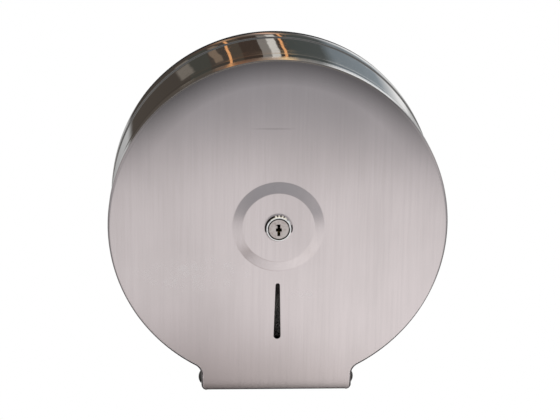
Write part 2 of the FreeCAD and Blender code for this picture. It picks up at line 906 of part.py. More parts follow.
def lock_plug():
    head_front_y = lock_front_y + plug_recess
    head = rod_y(plug_head_radius, head_front_y, barrel_floor_y - running_gap)
    body = rod_y(plug_radius, barrel_floor_y - running_gap, barrel_rear_y)
    side = plug_tail_half_side
    tail = block(point(-side, barrel_rear_y, -side), point(side, cam_rear_y, side))
    plug = joined([head, body, tail]).cut(keyway())
    for y in wafer_ys():
        slot = block(
            point(-wafer_half_width - fit_gap, y - fit_gap, -plug_radius - overrun),
            point(wafer_half_width + fit_gap, y + wafer_sheet + fit_gap, plug_radius + overrun),
        )
        plug = plug.cut(slot)
    screw_hole = rod_y(cam_screw_radius + fit_gap, cam_rear_y - cam_screw_length - fit_gap, cam_rear_y)
    return plug.cut(screw_hole)


def tumbler_wafers():
    wafers = []
    for y in wafer_ys():
        plate = rod_y(wafer_half_height, y, y + wafer_sheet)
        width = block(
            point(-wafer_half_width, y, -wafer_half_height),
            point(wafer_half_width, y + wafer_sheet, wafer_half_height),
        )
        window = block(
            point(-wafer_window_half_width, y, -wafer_window_half_height),
            point(wafer_window_half_width, y + wafer_sheet, wafer_window_half_height),
        )
        wafers.append(plate.common(width).cut(window))
    return Part.makeCompound(wafers)


def lock_washer():
    """Toothed washer under the nut."""
    front_y = plateau_y + door_sheet
    rear_y = front_y + washer_sheet
    washer = rod_y(washer_radius, front_y, rear_y)
    washer = washer.cut(rod_y(lock_barrel_radius + fit_gap, front_y, rear_y))
    step = FULL_TURN / washer_tooth_count
    for index in range(washer_tooth_count):
        place = polar(washer_radius, step * index)
        washer = washer.cut(rod_y(washer_notch_radius, front_y, rear_y, place.x, place.z))
    return washer


def lock_nut():
    front_y = plateau_y + door_sheet + washer_sheet
    corner_radius = nut_half_flats / math.cos(math.pi / nut_sides)
    step = FULL_TURN / nut_sides
    corners = [polar(corner_radius, step * index) for index in range(nut_sides)]
    for corner in corners:
        corner.y = front_y
    nut = polygon(corners).extrude(point(0, nut_sheet, 0))
    return nut.cut(rod_y(lock_barrel_radius + fit_gap, front_y, front_y + nut_sheet))


def lock_cam():
    """Flat cam on the plug's square tail, pointing up when unlocked."""
    half = cam_half_width
    bar = block(point(-half, cam_front_y, 0), point(half, cam_rear_y, cam_reach))
    hub = rod_y(half, cam_front_y, cam_rear_y)
    reach = rod_y(cam_reach, cam_front_y, cam_rear_y)
    side = plug_tail_half_side + fit_gap
    square = block(point(-side, cam_front_y, -side), point(side, cam_rear_y, side))
    return joined([bar, hub]).common(reach).cut(square)


def cam_washer():
    disc = rod_y(cam_washer_radius, cam_rear_y, cam_washer_rear_y)
    return disc.cut(rod_y(cam_screw_radius + fit_gap, cam_rear_y, cam_washer_rear_y))


def cam_screw():
    head_rear_y = cam_washer_rear_y + cam_screw_head_height
    head = rod_y(cam_screw_head_radius, cam_washer_rear_y, head_rear_y)
    shank = rod_y(cam_screw_radius, cam_rear_y - cam_screw_length, cam_washer_rear_y)
    slot = block(
        point(-cam_screw_head_radius, head_rear_y - cam_screw_slot_depth, -cam_screw_slot_half_width),
        point(cam_screw_head_radius, head_rear_y, cam_screw_slot_half_width),
    )
    return joined([head, shank]).cut(slot)


nodes = {
    "back_pan": back_pan(),
    "drum_band": drum_band(),
    "tear_blade_right": tear_blade(),
    "tear_blade_left": mirrored(tear_blade()),
    "blade_rivets": blade_rivets(),
    "spindle_tube": spindle_tube(),
    "spindle_base": spindle_base(),
    "spindle_rivets": spindle_rivets(),
    "strike_cap": strike_cap(),
    "retaining_ring": retaining_ring(),
    "core_sleeve": core_sleeve(),
    "door_panel": door_panel(),
    "hinge_rivet_right": hinge_rivet(),
    "hinge_rivet_left": mirrored(hinge_rivet()),
    "hinge_washer_right": hinge_washer(),
    "hinge_washer_left": mirrored(hinge_washer()),
    "lock_housing": lock_housing(),
    "lock_plug": lock_plug(),
    "tumbler_wafers": tumbler_wafers(),
    "lock_washer": lock_washer(),
    "lock_nut": lock_nut(),
    "lock_cam": lock_cam(),
    "cam_washer": cam_washer(),
    "cam_screw": cam_screw(),
}

os.makedirs("parts", exist_ok=True)
for name, shape in nodes.items():
    shape.exportStep(f"parts/{name}.step")
    print(name, len(shape.Solids), shape.isValid(), round(shape.Volume, 1))
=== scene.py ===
import json
import math

import bmesh
import bpy
from bpy.props import FloatProperty, FloatVectorProperty, IntProperty, PointerProperty
from mathutils import Matrix, Vector

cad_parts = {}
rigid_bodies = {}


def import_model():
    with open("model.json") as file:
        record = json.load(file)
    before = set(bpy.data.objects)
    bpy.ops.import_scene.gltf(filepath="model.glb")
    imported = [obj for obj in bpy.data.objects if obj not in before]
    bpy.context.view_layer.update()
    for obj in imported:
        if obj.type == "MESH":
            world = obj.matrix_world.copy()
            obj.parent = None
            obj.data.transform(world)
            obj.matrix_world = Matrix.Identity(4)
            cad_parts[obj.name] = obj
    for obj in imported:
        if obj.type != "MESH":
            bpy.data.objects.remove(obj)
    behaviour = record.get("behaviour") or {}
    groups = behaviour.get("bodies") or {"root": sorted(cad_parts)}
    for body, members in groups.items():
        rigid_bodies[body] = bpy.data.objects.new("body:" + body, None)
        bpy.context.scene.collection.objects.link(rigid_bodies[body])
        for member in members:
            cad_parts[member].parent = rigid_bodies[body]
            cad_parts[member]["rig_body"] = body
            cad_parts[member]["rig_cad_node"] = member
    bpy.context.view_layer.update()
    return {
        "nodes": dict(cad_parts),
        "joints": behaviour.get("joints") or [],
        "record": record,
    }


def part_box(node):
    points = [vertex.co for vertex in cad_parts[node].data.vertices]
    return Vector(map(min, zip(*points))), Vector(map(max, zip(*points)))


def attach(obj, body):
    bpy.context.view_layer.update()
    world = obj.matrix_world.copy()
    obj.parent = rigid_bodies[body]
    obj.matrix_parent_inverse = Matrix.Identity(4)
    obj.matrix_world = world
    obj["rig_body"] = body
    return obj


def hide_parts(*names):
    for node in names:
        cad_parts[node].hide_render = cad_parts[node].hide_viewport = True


bl_info = {
    "name": "Jumbo toilet roll dispenser",
    "version": (1, 0, 0),
    "blender": (4, 5, 0),
    "location": "3D View > Sidebar > Dispenser",
    "description": "Sheet steel roll dispenser with a drop-down front, cam lock and turning sleeve",
    "category": "Object",
}

MM = 0.001
MERGE_GAP = 0.01 * MM
REACH = 0.05 * MM
SUPPORT = 0.5 * MM
CREASE = 0.8 * MM
PLAY = 0.05 * MM
BEND_STEPS = 8
TRIES = 4
SKIN_LEFT = 0.8
ALONG_X = Vector((1, 0, 0))
ALONG_Y = Vector((0, 1, 0))
TO_FRONT = Vector((0, -1, 0))

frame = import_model()


# Sizes read from the frame

door_low, door_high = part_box("door_panel")
pan_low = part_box("back_pan")[0]
band_low, band_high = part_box("drum_band")
joints = {joint["name"]: joint for joint in frame["joints"]}
pivot = Vector(joints["door_hinge"]["pos_m"])


# Properties that a user can change


def length(name, description, millimetres):
    return FloatProperty(
        name=name, description=description, default=millimetres * MM,
        unit="LENGTH", subtype="DISTANCE", precision=5,
    )


def place(name, description, metres):
    return FloatProperty(name=name, description=description, default=metres, unit="LENGTH", precision=5)


def colour(name, description, value):
    return FloatVectorProperty(
        name=name, description=description, default=value, size=3,
        subtype="COLOR", min=0, max=1,
    )


def turning(name, description, degrees):
    default = math.radians(degrees)
    return FloatProperty(name=name, description=description, default=default, subtype="ANGLE")


def count(name, description, value):
    return IntProperty(name=name, description=description, default=value, min=1)


class OutlineSizes(bpy.types.PropertyGroup):
    """The drum and tab as seen from the front."""

    drum_radius: place("Drum radius", "Radius of the drum and the door", door_high.x)
    tab_half_width: length("Tab half width", "Half the width of the tab under the drum", 61.6)
    tab_bottom: place("Tab bottom", "Height of the tab's bottom edge", door_low.z)
    neck_radius: length("Neck radius", "Inside radius where the drum meets the tab", 10)
    tab_corner: length("Tab corner", "Radius of the tab's bottom corners", 4.5)
    drum_steps: count("Drum steps", "Segments round the drum", 240)
    neck_steps: count("Neck steps", "Segments round each neck", 24)


class DoorSizes(bpy.types.PropertyGroup):
    """The hinged front panel."""

    sheet: length("Sheet", "Thickness of the door's sheet", 0.9)
    flange: length("Flange", "Depth of the flange that laps over the drum", 13.6)
    bend: length("Bend radius", "Outside radius of the bend round the face", 2)
    boss_height: length("Boss height", "How far the boss stands out", 2)
    boss_outer: length("Boss outer radius", "Radius where the boss starts to rise", 37.8)
    boss_run: length("Boss slope", "Width of the boss's slope", 9.6)
    boss_bend: length("Boss bend", "Radius of the bends above and below the boss's slope", 5)
    slot_top: length("Slot top", "Depth of the level slot's top below the axis", 47.8)
    slot_bottom: length("Slot bottom", "Depth of the level slot's bottom below the axis", 95.8)
    slot_top_radius: length("Slot top radius", "Radius of the slot's upper end", 1.75)
    slot_bottom_radius: length("Slot bottom radius", "Radius of the slot's lower end", 2.85)
    hem: length("Hem", "Height of the folded bottom edge", 7)
    hem_gap: length("Hem gap", "Gap inside the fold", 0.2)
    ear: length("Ear radius", "Radius of the ear round the hinge rivet", 5.8)
    edge: length("Edge rounding", "Rounding of the sheet's cut edges", 0.16)


class DrumSizes(bpy.types.PropertyGroup):
    """The drum band and the back pan."""

    sheet: length("Sheet", "Thickness of the band and the pan", 0.8)
    front_inset: length("Front inset", "How far the band's front lies inside the outline", 1.7)
    step_rear: length("Step start", "Depth where the band starts to draw in", 91.4)
    step_front: length("Step end", "Depth where the band is fully drawn in", 104.8)
    lip: length("Lip", "Depth of the band's inward lip", 7)
    lip_bend: length("Lip bend", "Outside radius of the lip's bend", 1.8)
    relief: length("Corner relief", "Radius about the hinge that the cheek's corner keeps to", 8.2)
    pan_depth: length("Pan depth", "Depth of the pan's rim", 29)
    pan_straight: length("Pan straight", "Straight part of the pan's rim", 10)
    pan_draw: length("Pan draw-in", "How far the pan's rim draws in towards the wall", 0.8)
    pan_bend: length("Pan bend radius", "Outside radius of the pan's bend", 2.5)
    dish_outer: length("Dish outer radius", "Radius where the pan's dish starts", 46)
    dish_inner: length("Dish inner radius", "Radius of the dish's flat", 39)
    dish_height: length("Dish height", "How far the dish stands off the wall", 3)
    screw_x: length("Screw spacing across", "Distance between the wall screws across", 140)
    screw_z: length("Screw spacing up", "Distance between the wall screws up", 120)
    screw_hole: length("Screw hole radius", "Radius of the wall screw holes", 3.25)
    edge: length("Edge rounding", "Rounding of the sheet's cut edges", 0.14)


class LockSizes(bpy.types.PropertyGroup):
    """The cam lock."""

    head: length("Head radius", "Radius of the lock's head at the door", 11.5)
    skirt: length("Head skirt", "Straight part of the head at the door", 0.8)
    ring: length("Ring radius", "Radius of the ring at the head's front", 9.9)
    ring_width: length("Ring width", "Width of that ring", 1)
    height: length("Head height", "How far the head stands out", 4.5)
    barrel: length("Barrel radius", "Radius of the threaded barrel", 9)
    flats: length("Barrel flats", "Half the distance across the barrel's flats", 8)
    barrel_depth: length("Barrel depth", "Length of the barrel behind the door's front", 17.8)
    thread_pitch: length("Thread pitch", "Pitch of the barrel's thread", 1.1)
    thread_depth: length("Thread depth", "Depth of the barrel's thread", 0.45)
    plug: length("Plug radius", "Radius of the plug", 6.5)
    plug_head: length("Plug head radius", "Radius of the plug's head", 8.6)
    plug_sheet: length("Plug head depth", "Depth of the plug's head", 2.2)
    recess: length("Plug recess", "How far the plug's face lies behind the ring", 0.3)
    tail: length("Tail", "Half the side of the plug's square tail", 3)
    tail_depth: length("Tail depth", "Length of the tail behind the barrel", 2.2)
    key_depth: length("Keyway depth", "Depth of the keyway", 15)
    key_half: length("Keyway half width", "Half the width of the keyway's slot", 1.15)
    key_wing: length("Keyway wing", "Half the width of the keyway's wings", 2.4)
    key_top: length("Keyway top", "How far the keyway reaches up from the axis", 4)
    key_bottom: length("Keyway bottom", "How far the keyway reaches down from the axis", 5.6)
    edge: length("Edge rounding", "Rounding of the lock's edges", 0.12)


class RivetSizes(bpy.types.PropertyGroup):
    """The two hinge rivets."""

    shank: length("Shank radius", "Radius of the rivet's shank", 2.5)
    head: length("Head radius", "Radius of the head outside the ear", 5.1)
    head_height: length("Head height", "Height of that head", 2.2)
    clinch: length("Clinch radius", "Radius of the clinched end", 4.2)
    clinch_height: length("Clinch height", "Height of the clinched end", 1.4)


class MetalColours(bpy.types.PropertyGroup):
    """Colours of the finishes."""

    door_steel: colour("Door steel", "Satin brushed stainless steel", (0.68, 0.615, 0.618))
    flange_steel: colour("Flange steel", "Brighter steel of the door's flange", (0.85, 0.83, 0.82))
    # Painted shade: a dark colour that darkens the satin face along its top edge.
    painted_top_shade: colour("Shaded steel", "Steel shaded along the face's top edge", (0.02, 0.018, 0.018))
    band_steel: colour("Band steel", "Mirror-bright stainless steel", (0.62, 0.60, 0.58))
    # Dull film on the satin face and the band, and painted shade along the pan's rear bend.
    grime_and_shade: colour("Grime", "Dull film that dims the satin face in places", (0.34, 0.31, 0.30))
    blade_steel: colour("Blade steel", "Tear blades", (0.60, 0.59, 0.58))
    rivet_steel: colour("Rivet steel", "Dull rivets", (0.16, 0.15, 0.145))
    spindle_steel: colour("Spindle steel", "Drawn tube", (0.56, 0.55, 0.54))
    zinc: colour("Zinc plate", "Bright zinc plating", (0.60, 0.62, 0.66))
    spring_steel: colour("Spring steel", "Blued spring steel", (0.09, 0.09, 0.11))
    plastic: colour("Sleeve plastic", "Moulded dark grey plastic", (0.045, 0.05, 0.055))
    nylon: colour("Nylon", "Natural nylon washers", (0.72, 0.69, 0.62))
    chrome: colour("Lock chrome", "Polished chrome plating", (0.94, 0.93, 0.93))
    # Painted reflection: a dark colour laid in arcs on the slope of the lock's head.
    painted_dark_reflection: colour("Lock tarnish", "Dark stain on the slope of the lock's head", (0.02, 0.019, 0.018))
    nickel: colour("Plug nickel", "Satin nickel plating", (0.62, 0.57, 0.55))
    # Painted shade: the brass is darkened because the wafers sit deep in the keyway.
    brass: colour("Wafer brass", "Stamped brass, shaded in the keyway", (0.20, 0.145, 0.06))
    # Painted shade for the keyway's walls and the gap round the plug.
    painted_recess_shade: colour("Keyway dark", "Unlit walls of the keyway", (0.01, 0.009, 0.008))


class StudioSettings(bpy.types.PropertyGroup):
    """Camera, floor and light."""

    camera_x: place("Camera x", "Camera to the right of the drum's axis", -0.0773)
    camera_y: place("Camera y", "Camera behind the wall plane", -1.523)
    camera_z: place("Camera z", "Camera above the drum's axis", 0.4494)
    yaw: turning("Yaw", "Camera turn about the upright", -3.191)
    pitch: turning("Pitch", "Camera tilt", -17.187)
    roll: turning("Roll", "Camera roll", -0.796)
    lens: FloatProperty(name="Lens", description="Focal length in millimetres", default=118.51, min=1)
    room_half: length("Card room half width", "Half the width of the room of painted cards", 1100)
    room_height: length("Card room half height", "Half the height of the card room", 900)
    room_front: place("Card room front", "Place of the front card", -0.5)
    room_back: place("Card room back", "Place of the back card", 1.1)
    table_drop: length("Table drop", "Depth of the table card below the drum's axis", 320)
    flag_front: place("Flag place", "Place of the black flag that keeps light out of the drum", -0.160)
    flag_high: length("Flag top", "Depth of the flag's top below the drum's axis", 156)
    flag_low: length("Flag bottom", "Depth of the flag's bottom below the drum's axis", 318)
    floor_drop: length("Floor drop", "Depth of the floor below the drum's axis", 1000)
    floor_size: length("Floor size", "Side of the floor", 40000)


# Building by hand


def select_only(piece=None):
    if bpy.context.mode != "OBJECT":
        bpy.ops.object.mode_set(mode="OBJECT")
    bpy.ops.object.select_all(action="DESELECT")
    if piece:
        piece.select_set(True)
        bpy.context.view_layer.objects.active = piece


def start_line(name, start):
    """A new piece of one vertex, open in edit mode."""
    select_only()
    bpy.ops.mesh.primitive_plane_add(size=MM, location=start)
    piece = bpy.context.object
    piece.name = name
    bpy.ops.object.transform_apply(location=True, rotation=True, scale=True)
    bpy.ops.object.mode_set(mode="EDIT")
    bpy.ops.mesh.select_all(action="SELECT")
    bpy.ops.mesh.merge(type="CENTER")
    return piece


def draw_line(points):
    """Extrudes the picked vertex from point to point."""
    for start, end in zip(points, points[1:]):
        bpy.ops.mesh.extrude_vertices_move(TRANSFORM_OT_translate={"value": end - start})


def start_section(name, points):
    """A new piece of one drawn line, with all of it picked."""
    piece = start_line(name, points[0])
    draw_line(points)
    bpy.ops.mesh.select_all(action="SELECT")
    return piece


def pull(x=0, y=0, z=0):
    bpy.ops.mesh.extrude_region_move(TRANSFORM_OT_translate={"value": (x, y, z)})


def turn(angle, steps, centre, axis):
    """Spins what is picked about an axis by the right-hand rule."""
    bpy.ops.mesh.spin(steps=steps, angle=-angle, center=centre, axis=axis)


def unpicked_mesh():
    """The mesh in edit mode, with nothing picked."""
    mesh = bmesh.from_edit_mesh(bpy.context.object.data)
    for part in (*mesh.verts, *mesh.edges, *mesh.faces):
        part.select = False
    return mesh


def pick(test):
    """Picks the vertices that pass a test, with the edges and faces between them."""
    mesh = unpicked_mesh()
    for vertex in mesh.verts:
        vertex.select = test(vertex.co)
    mesh.select_flush(True)
    bmesh.update_edit_mesh(bpy.context.object.data)


def pick_open_edges(test):
    """Picks the open edges whose two ends pass a test."""
    mesh = unpicked_mesh()
    for edge in mesh.edges:
        if len(edge.link_faces) < 2 and all(test(vertex.co) for vertex in edge.verts):
            edge.select = True
    bmesh.update_edit_mesh(bpy.context.object.data)


def near(first, second):
    return abs(first - second) < REACH


def merge_all():
    bpy.ops.mesh.select_all(action="SELECT")
    bpy.ops.mesh.remove_doubles(threshold=MERGE_GAP)


def join_into(piece, others):
    select_only(piece)
    for other in others:
        other.select_set(True)
    bpy.ops.object.join()
    bpy.ops.object.mode_set(mode="EDIT")
    merge_all()


def face_out(piece, sample, outward):
    """Turns a sheet's skin so that the face nearest a sample place faces outward."""
    bpy.ops.mesh.select_all(action="SELECT")
    bpy.ops.mesh.normals_make_consistent(inside=False)
    mesh = bmesh.from_edit_mesh(piece.data)
    nearest = min(mesh.faces, key=lambda face: (face.calc_center_median() - sample).length)
    if nearest.normal.dot(outward) < 0:
        bpy.ops.mesh.flip_normals()
    bpy.ops.object.mode_set(mode="OBJECT")


def apply_modifier(piece, kind, **settings):
    select_only(piece)
    modifier = piece.modifiers.new(kind.title(), kind)
    for name, value in settings.items():
        setattr(modifier, name, value)
    bpy.ops.object.modifier_apply(modifier=modifier.name)


def thicken(piece, sheet):
    apply_modifier(piece, "SOLIDIFY", thickness=sheet, offset=-1, use_even_offset=True)


def round_edges(piece, width, limit=50, smooth=35, segments=2):
    """Rounds the sharp edges and shades the rest smoothly, with flat faces kept flat."""
    apply_modifier(
        piece, "BEVEL", width=width, segments=segments, limit_method="ANGLE",
        angle_limit=math.radians(limit), use_clamp_overlap=False,
    )
    bpy.ops.object.shade_smooth_by_angle(angle=math.radians(smooth))
    apply_modifier(piece, "WEIGHTED_NORMAL", weight=90, keep_sharp=True)


def block(corners, front, depth):
    """A straight-walled solid, drawn as (x, z) corners, from a place in y."""
    points = [Vector((x, front, z)) for x, z in corners]
    piece = start_line("cutter", points[0])
    draw_line(points + points[:1])
    merge_all()
    bpy.ops.mesh.edge_face_add()
    pull(y=depth)
    bpy.ops.mesh.select_all(action="SELECT")
    bpy.ops.mesh.normals_make_consistent(inside=False)
    select_only(piece)
    return piece


def skin_area(piece):
    return sum(face.area for face in piece.data.polygons)


def cut_out(piece, blocks):
    """Cuts solids out of a piece in one go, and tries again if the cut takes too much away."""
    cutter = blocks[0]
    join_into(cutter, blocks[1:])
    select_only(cutter)
    whole = piece.data.copy()
    least = skin_area(piece) * SKIN_LEFT
    for _ in range(TRIES):
        apply_modifier(piece, "BOOLEAN", object=cutter, operation="DIFFERENCE", solver="EXACT")
        if skin_area(piece) > least:
            break
        piece.data = whole.copy()
    else:
        raise RuntimeError("The cut in " + piece.name + " failed")
    bpy.data.objects.remove(cutter)
    bpy.data.meshes.remove(whole)


def arc_points(centre, radius, start, end, steps):
    """Pairs on an arc in a section drawing, with the angles in degrees."""
    angles = [math.radians(start + (end - start) * index / steps) for index in range(steps + 1)]
    return [(centre[0] + radius * math.cos(a), centre[1] + radius * math.sin(a)) for a in angles]


def spun(name, profile, steps=96, axis=ALONG_Y, origin=Vector((0, 0, 0))):
    """A turned piece from (radius, place along the axis) pairs."""
    across = Vector((0, 0, 1))
    points = [origin + across * radius + axis * along for radius, along in profile]
    piece = start_section(name, points)
    turn(math.tau, steps, origin, axis)
    merge_all()
    bpy.ops.mesh.normals_make_consistent(inside=False)
    bpy.ops.object.mode_set(mode="OBJECT")
    return piece


def dress(piece, body, slot, *nodes):
    """Gives a finished piece its body and finish, and hides the CAD nodes that it stands for."""
    select_only()
    piece.data.materials.clear()
    piece.data.materials.append(finish_of(slot))
    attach(piece, body)
    if nodes:
        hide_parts(*nodes)


# The outline that the sheets follow


class Outline:
    """Carries a section from the foot of the right neck round the drum to the foot of the left neck."""

    def __init__(self, sizes):
        self.radius = sizes.drum_radius
        self.half_width = sizes.tab_half_width
        self.bottom = sizes.tab_bottom
        self.corner = sizes.tab_corner
        self.neck_x = sizes.tab_half_width + sizes.neck_radius
        self.neck_z = -math.sqrt((sizes.drum_radius + sizes.neck_radius) ** 2 - self.neck_x ** 2)
        self.neck_angle = math.atan2(-self.neck_z, self.neck_x)
        self.neck_steps = sizes.neck_steps
        self.drum_steps = sizes.drum_steps

    def section(self, pairs):
        """Places of (inset, depth) pairs on the right-hand side of the tab, at the neck's foot."""
        return [Vector((self.half_width - inset, -depth, self.neck_z)) for inset, depth in pairs]

    def carry(self):
        """Spins the picked section from the right neck over the drum to the left neck."""
        turn(-self.neck_angle, self.neck_steps, (self.neck_x, 0, self.neck_z), TO_FRONT)
        self.carry_drum()
        turn(-self.neck_angle, self.neck_steps, (-self.neck_x, 0, self.neck_z), TO_FRONT)

    def carry_drum(self):
        turn(math.pi + 2 * self.neck_angle, self.drum_steps, (0, 0, 0), TO_FRONT)

    def on_drum(self, pairs):
        """Places of (inset, depth) pairs where the right neck runs into the drum."""
        cos, sin = math.cos(self.neck_angle), math.sin(self.neck_angle)
        return [
            Vector(((self.radius - inset) * cos, -depth, -(self.radius - inset) * sin))
            for inset, depth in pairs
        ]

    def pick_foot(self, side, z=None):
        """Picks the section's vertices on one side of the tab at a height."""
        height = self.neck_z if z is None else z
        pick(lambda v: near(v.z, height) and v.x * side > 0 and abs(v.x) < self.half_width + REACH)

    def carry_down(self, side, heights, edge_depth=None):
        """Pulls one foot of the section down through some heights.

        edge_depth gives the depth of the sheet's free edge at a height.
        """
        for start, height in zip([self.neck_z] + heights, heights):
            self.pick_foot(side, start)
            pull(z=height - start)
            if edge_depth:
                current = -edge_depth(start)
                pick(lambda v: near(v.z, height) and v.x * side > 0 and near(v.y, current))
                bpy.ops.transform.translate(value=(0, -edge_depth(height) - current, 0))


# Shaders


def finish_values():
    return bpy.context.scene.dispenser_colours


class Signal:
    """A value that varies over a surface. Arithmetic on it adds Math nodes."""

    def __init__(self, finish, socket):
        self.finish = finish
        self.socket = socket

    def combined(self, operation, first, second):
        return self.finish.add("ShaderNodeMath", {"operation": operation}, {0: first, 1: second})

    def __add__(self, other):
        return self.combined("ADD", self, other)

    __radd__ = __add__

    def __sub__(self, other):
        return self.combined("SUBTRACT", self, other)

    def __rsub__(self, other):
        return self.combined("SUBTRACT", other, self)

    def __mul__(self, other):
        return self.combined("MULTIPLY", self, other)

    __rmul__ = __mul__

    def __pow__(self, other):
        return self.combined("POWER", self, other)


socket_names = {"specular_ior_level": "Specular IOR Level"}


class Nodes:
    """A node tree in the making."""

    def __init__(self, tree):
        self.tree = tree

    def set(self, node, socket, value):
        target = node.inputs[socket]
        if isinstance(value, Signal):
            self.tree.links.new(value.socket, target)
        elif target.type == "RGBA":
            target.default_value = (*value[:3], 1)
        else:
            target.default_value = value

    def add(self, kind, settings=None, inputs=None, output=0):
        node = self.tree.nodes.new(kind)
        for name, value in (settings or {}).items():
            if name == "stops":
                self.set_stops(node.color_ramp.elements, value)
            else:
                setattr(node, name, value)
        for socket, value in (inputs or {}).items():
            self.set(node, socket, value)
        return Signal(self, node.outputs[output])

    def set_stops(self, elements, stops):
        elements.remove(elements[1])
        elements[0].position = stops[0][0]
        elements[0].color = (*stops[0][1], 1)
        for position, shade in stops[1:]:
            elements.new(position).color = (*shade, 1)

    def between(self, value, low, high, start=0, end=1, curve="SMOOTHSTEP"):
        return self.add("ShaderNodeMapRange", {"interpolation_type": curve}, {
            "Value": value, "From Min": low, "From Max": high, "To Min": start, "To Max": end,
        })

    def mirror_rays(self):
        """1 for rays from the camera and rays that polished or clear pieces send out, 0 for the others."""
        seen = self.add("ShaderNodeLightPath", output="Is Camera Ray")
        for kind in ("Is Glossy Ray", "Is Transmission Ray"):
            seen = seen.combined("MAXIMUM", seen, self.add("ShaderNodeLightPath", output=kind))
        return seen


class Finish(Nodes):
    """A material in the making. It takes over the frame's material of the same name."""

    def __init__(self, name, **constants):
        self.material = bpy.data.materials.get(name) or bpy.data.materials.new(name)
        self.material.use_nodes = True
        super().__init__(self.material.node_tree)
        self.tree.nodes.clear()
        self.shader = self.tree.nodes.new("ShaderNodeBsdfPrincipled")
        self.output = self.tree.nodes.new("ShaderNodeOutputMaterial")
        self.tree.links.new(self.shader.outputs[0], self.output.inputs["Surface"])
        for socket, value in constants.items():
            self.set(self.shader, socket_names.get(socket, socket.replace("_", " ").title()), value)
        self.place = self.add("ShaderNodeTexCoord", output="Object")

    def stretched(self, scale, location=(0, 0, 0), rotation=(0, 0, 0)):
        return self.add("ShaderNodeMapping", {}, {
            "Vector": self.place, "Location": location, "Rotation": rotation, "Scale": scale,
        })

    def noise(self, scale, detail=2, roughness=0.5, location=(0, 0, 0), rotation=(0, 0, 0)):
        return self.add("ShaderNodeTexNoise", {}, {
            "Vector": self.stretched(scale, location, rotation),
            "Scale": 1, "Detail": detail, "Roughness": roughness,
        })

    def axis(self, letter):
        return self.add("ShaderNodeSeparateXYZ", {}, {0: self.place}, output=letter)

    def radius(self):
        """Distance from the drum's axis."""
        across, up = self.axis("X"), self.axis("Z")
        return (across * across + up * up) ** 0.5

    def bearing(self):
        """Degrees from the top about the drum's axis, growing to the right as seen from the front."""
        inputs = {0: self.axis("X"), 1: self.axis("Z")}
        return self.add("ShaderNodeMath", {"operation": "ARCTAN2"}, inputs) * math.degrees(1)

    def mixed(self, factor, first, second, blend="MIX"):
        return self.add("ShaderNodeMix", {"data_type": "RGBA", "blend_type": blend}, {
            0: factor, 6: first, 7: second,
        }, output=2)

    def spot(self, centre, reach):
        """A soft oval patch, 1 at its centre and 0 at its reach."""
        scale = [1 / size for size in reach]
        shift = [-middle / size for middle, size in zip(centre, reach)]
        distance = self.add("ShaderNodeVectorMath", {"operation": "LENGTH"}, {
            0: self.stretched(scale, shift),
        }, output="Value")
        return self.between(distance, 0, 1, 1, 0)

    def feed(self, socket, value):
        self.set(self.shader, socket, value)

    def surface(self, tone, roughness, relief, height, strength):
        """Feeds the colour, the roughness and a relief of some height, and hands over the material."""
        self.feed("Base Color", tone)
        self.feed("Roughness", roughness)
        self.feed("Normal", self.add("ShaderNodeBump", {}, {
            "Height": relief, "Distance": height, "Strength": strength,
        }))
        return self.material


def dimmed(shade, share):
    return [part * share for part in shade]


def plain_metal(name, base, roughness, grain=(220, 220, 220), wear=0.25):
    """Metal with a fine grain, uneven sheen and slightly uneven tone."""
    finish = Finish(name, metallic=1)
    fine = finish.noise([2200] * 3, detail=3)
    soft = finish.noise(grain, detail=3)
    tone = finish.mixed(soft, dimmed(base, 1 - wear), base)
    return finish.surface(tone, roughness * 0.8 + soft * (roughness * 0.4), fine, 0.01 * MM, 0.35)


def door_steel():
    """Satin stainless sheet, brushed up and down."""
    colours = finish_values()
    finish = Finish("door_steel", metallic=1, anisotropic=0.8)
    hair = finish.noise((2600, 2600, 26), detail=3, roughness=0.6)
    streak = finish.noise((420, 420, 7), detail=4, roughness=0.55, location=(3, 1, 0))
    cloud = finish.noise((16, 16, 9), detail=3, roughness=0.5)
    depth = finish.axis("Y")
    on_face = finish.between(depth, -0.1178, -0.1181)
    blotch = finish.noise((190, 190, 150), detail=4, roughness=0.7)
    smears = finish.spot((-0.066, -0.12, -0.040), (0.070, 0.05, 0.022))
    smears = smears + finish.spot((0.024, -0.12, -0.056), (0.024, 0.05, 0.007))
    smears = smears * finish.between(blotch, 0.48, 0.66) * on_face
    scuff = finish.spot((-0.005, -0.12, 0.0812), (0.024, 0.05, 0.0012))
    tone = finish.mixed(finish.between(cloud, 0.35, 0.7, 0, 0.16), colours.door_steel, colours.grime_and_shade)
    tone = finish.mixed((streak - 0.45) * 0.20 + (hair - 0.42) * 0.24, tone, colours.grime_and_shade)
    tone = finish.mixed(smears * 0.28, tone, (0.86, 0.84, 0.84))
    tone = finish.mixed(scuff * 0.35, tone, colours.grime_and_shade)
    # Painted shade along the face's top edge, towards the top of the drum.
    top_edge_shade = finish.between(finish.radius(), door_high.x - 20 * MM, door_high.x, curve="LINEAR")
    top_edge_shade = top_edge_shade * finish.between(finish.axis("Z"), 0.03, 0.12) * 0.72
    tone = finish.mixed(top_edge_shade, tone, colours.painted_top_shade)
    rim = finish.between(depth, -0.1176, -0.1160)
    brushed = 0.205 + hair * 0.05 + streak * 0.03 + smears * 0.12
    tone = finish.mixed(rim, tone, colours.flange_steel)
    rough = brushed * (1 - rim) + rim * 0.06
    return finish.surface(tone, rough, hair * 0.6 + streak * 0.4, 0.012 * MM, 0.5)


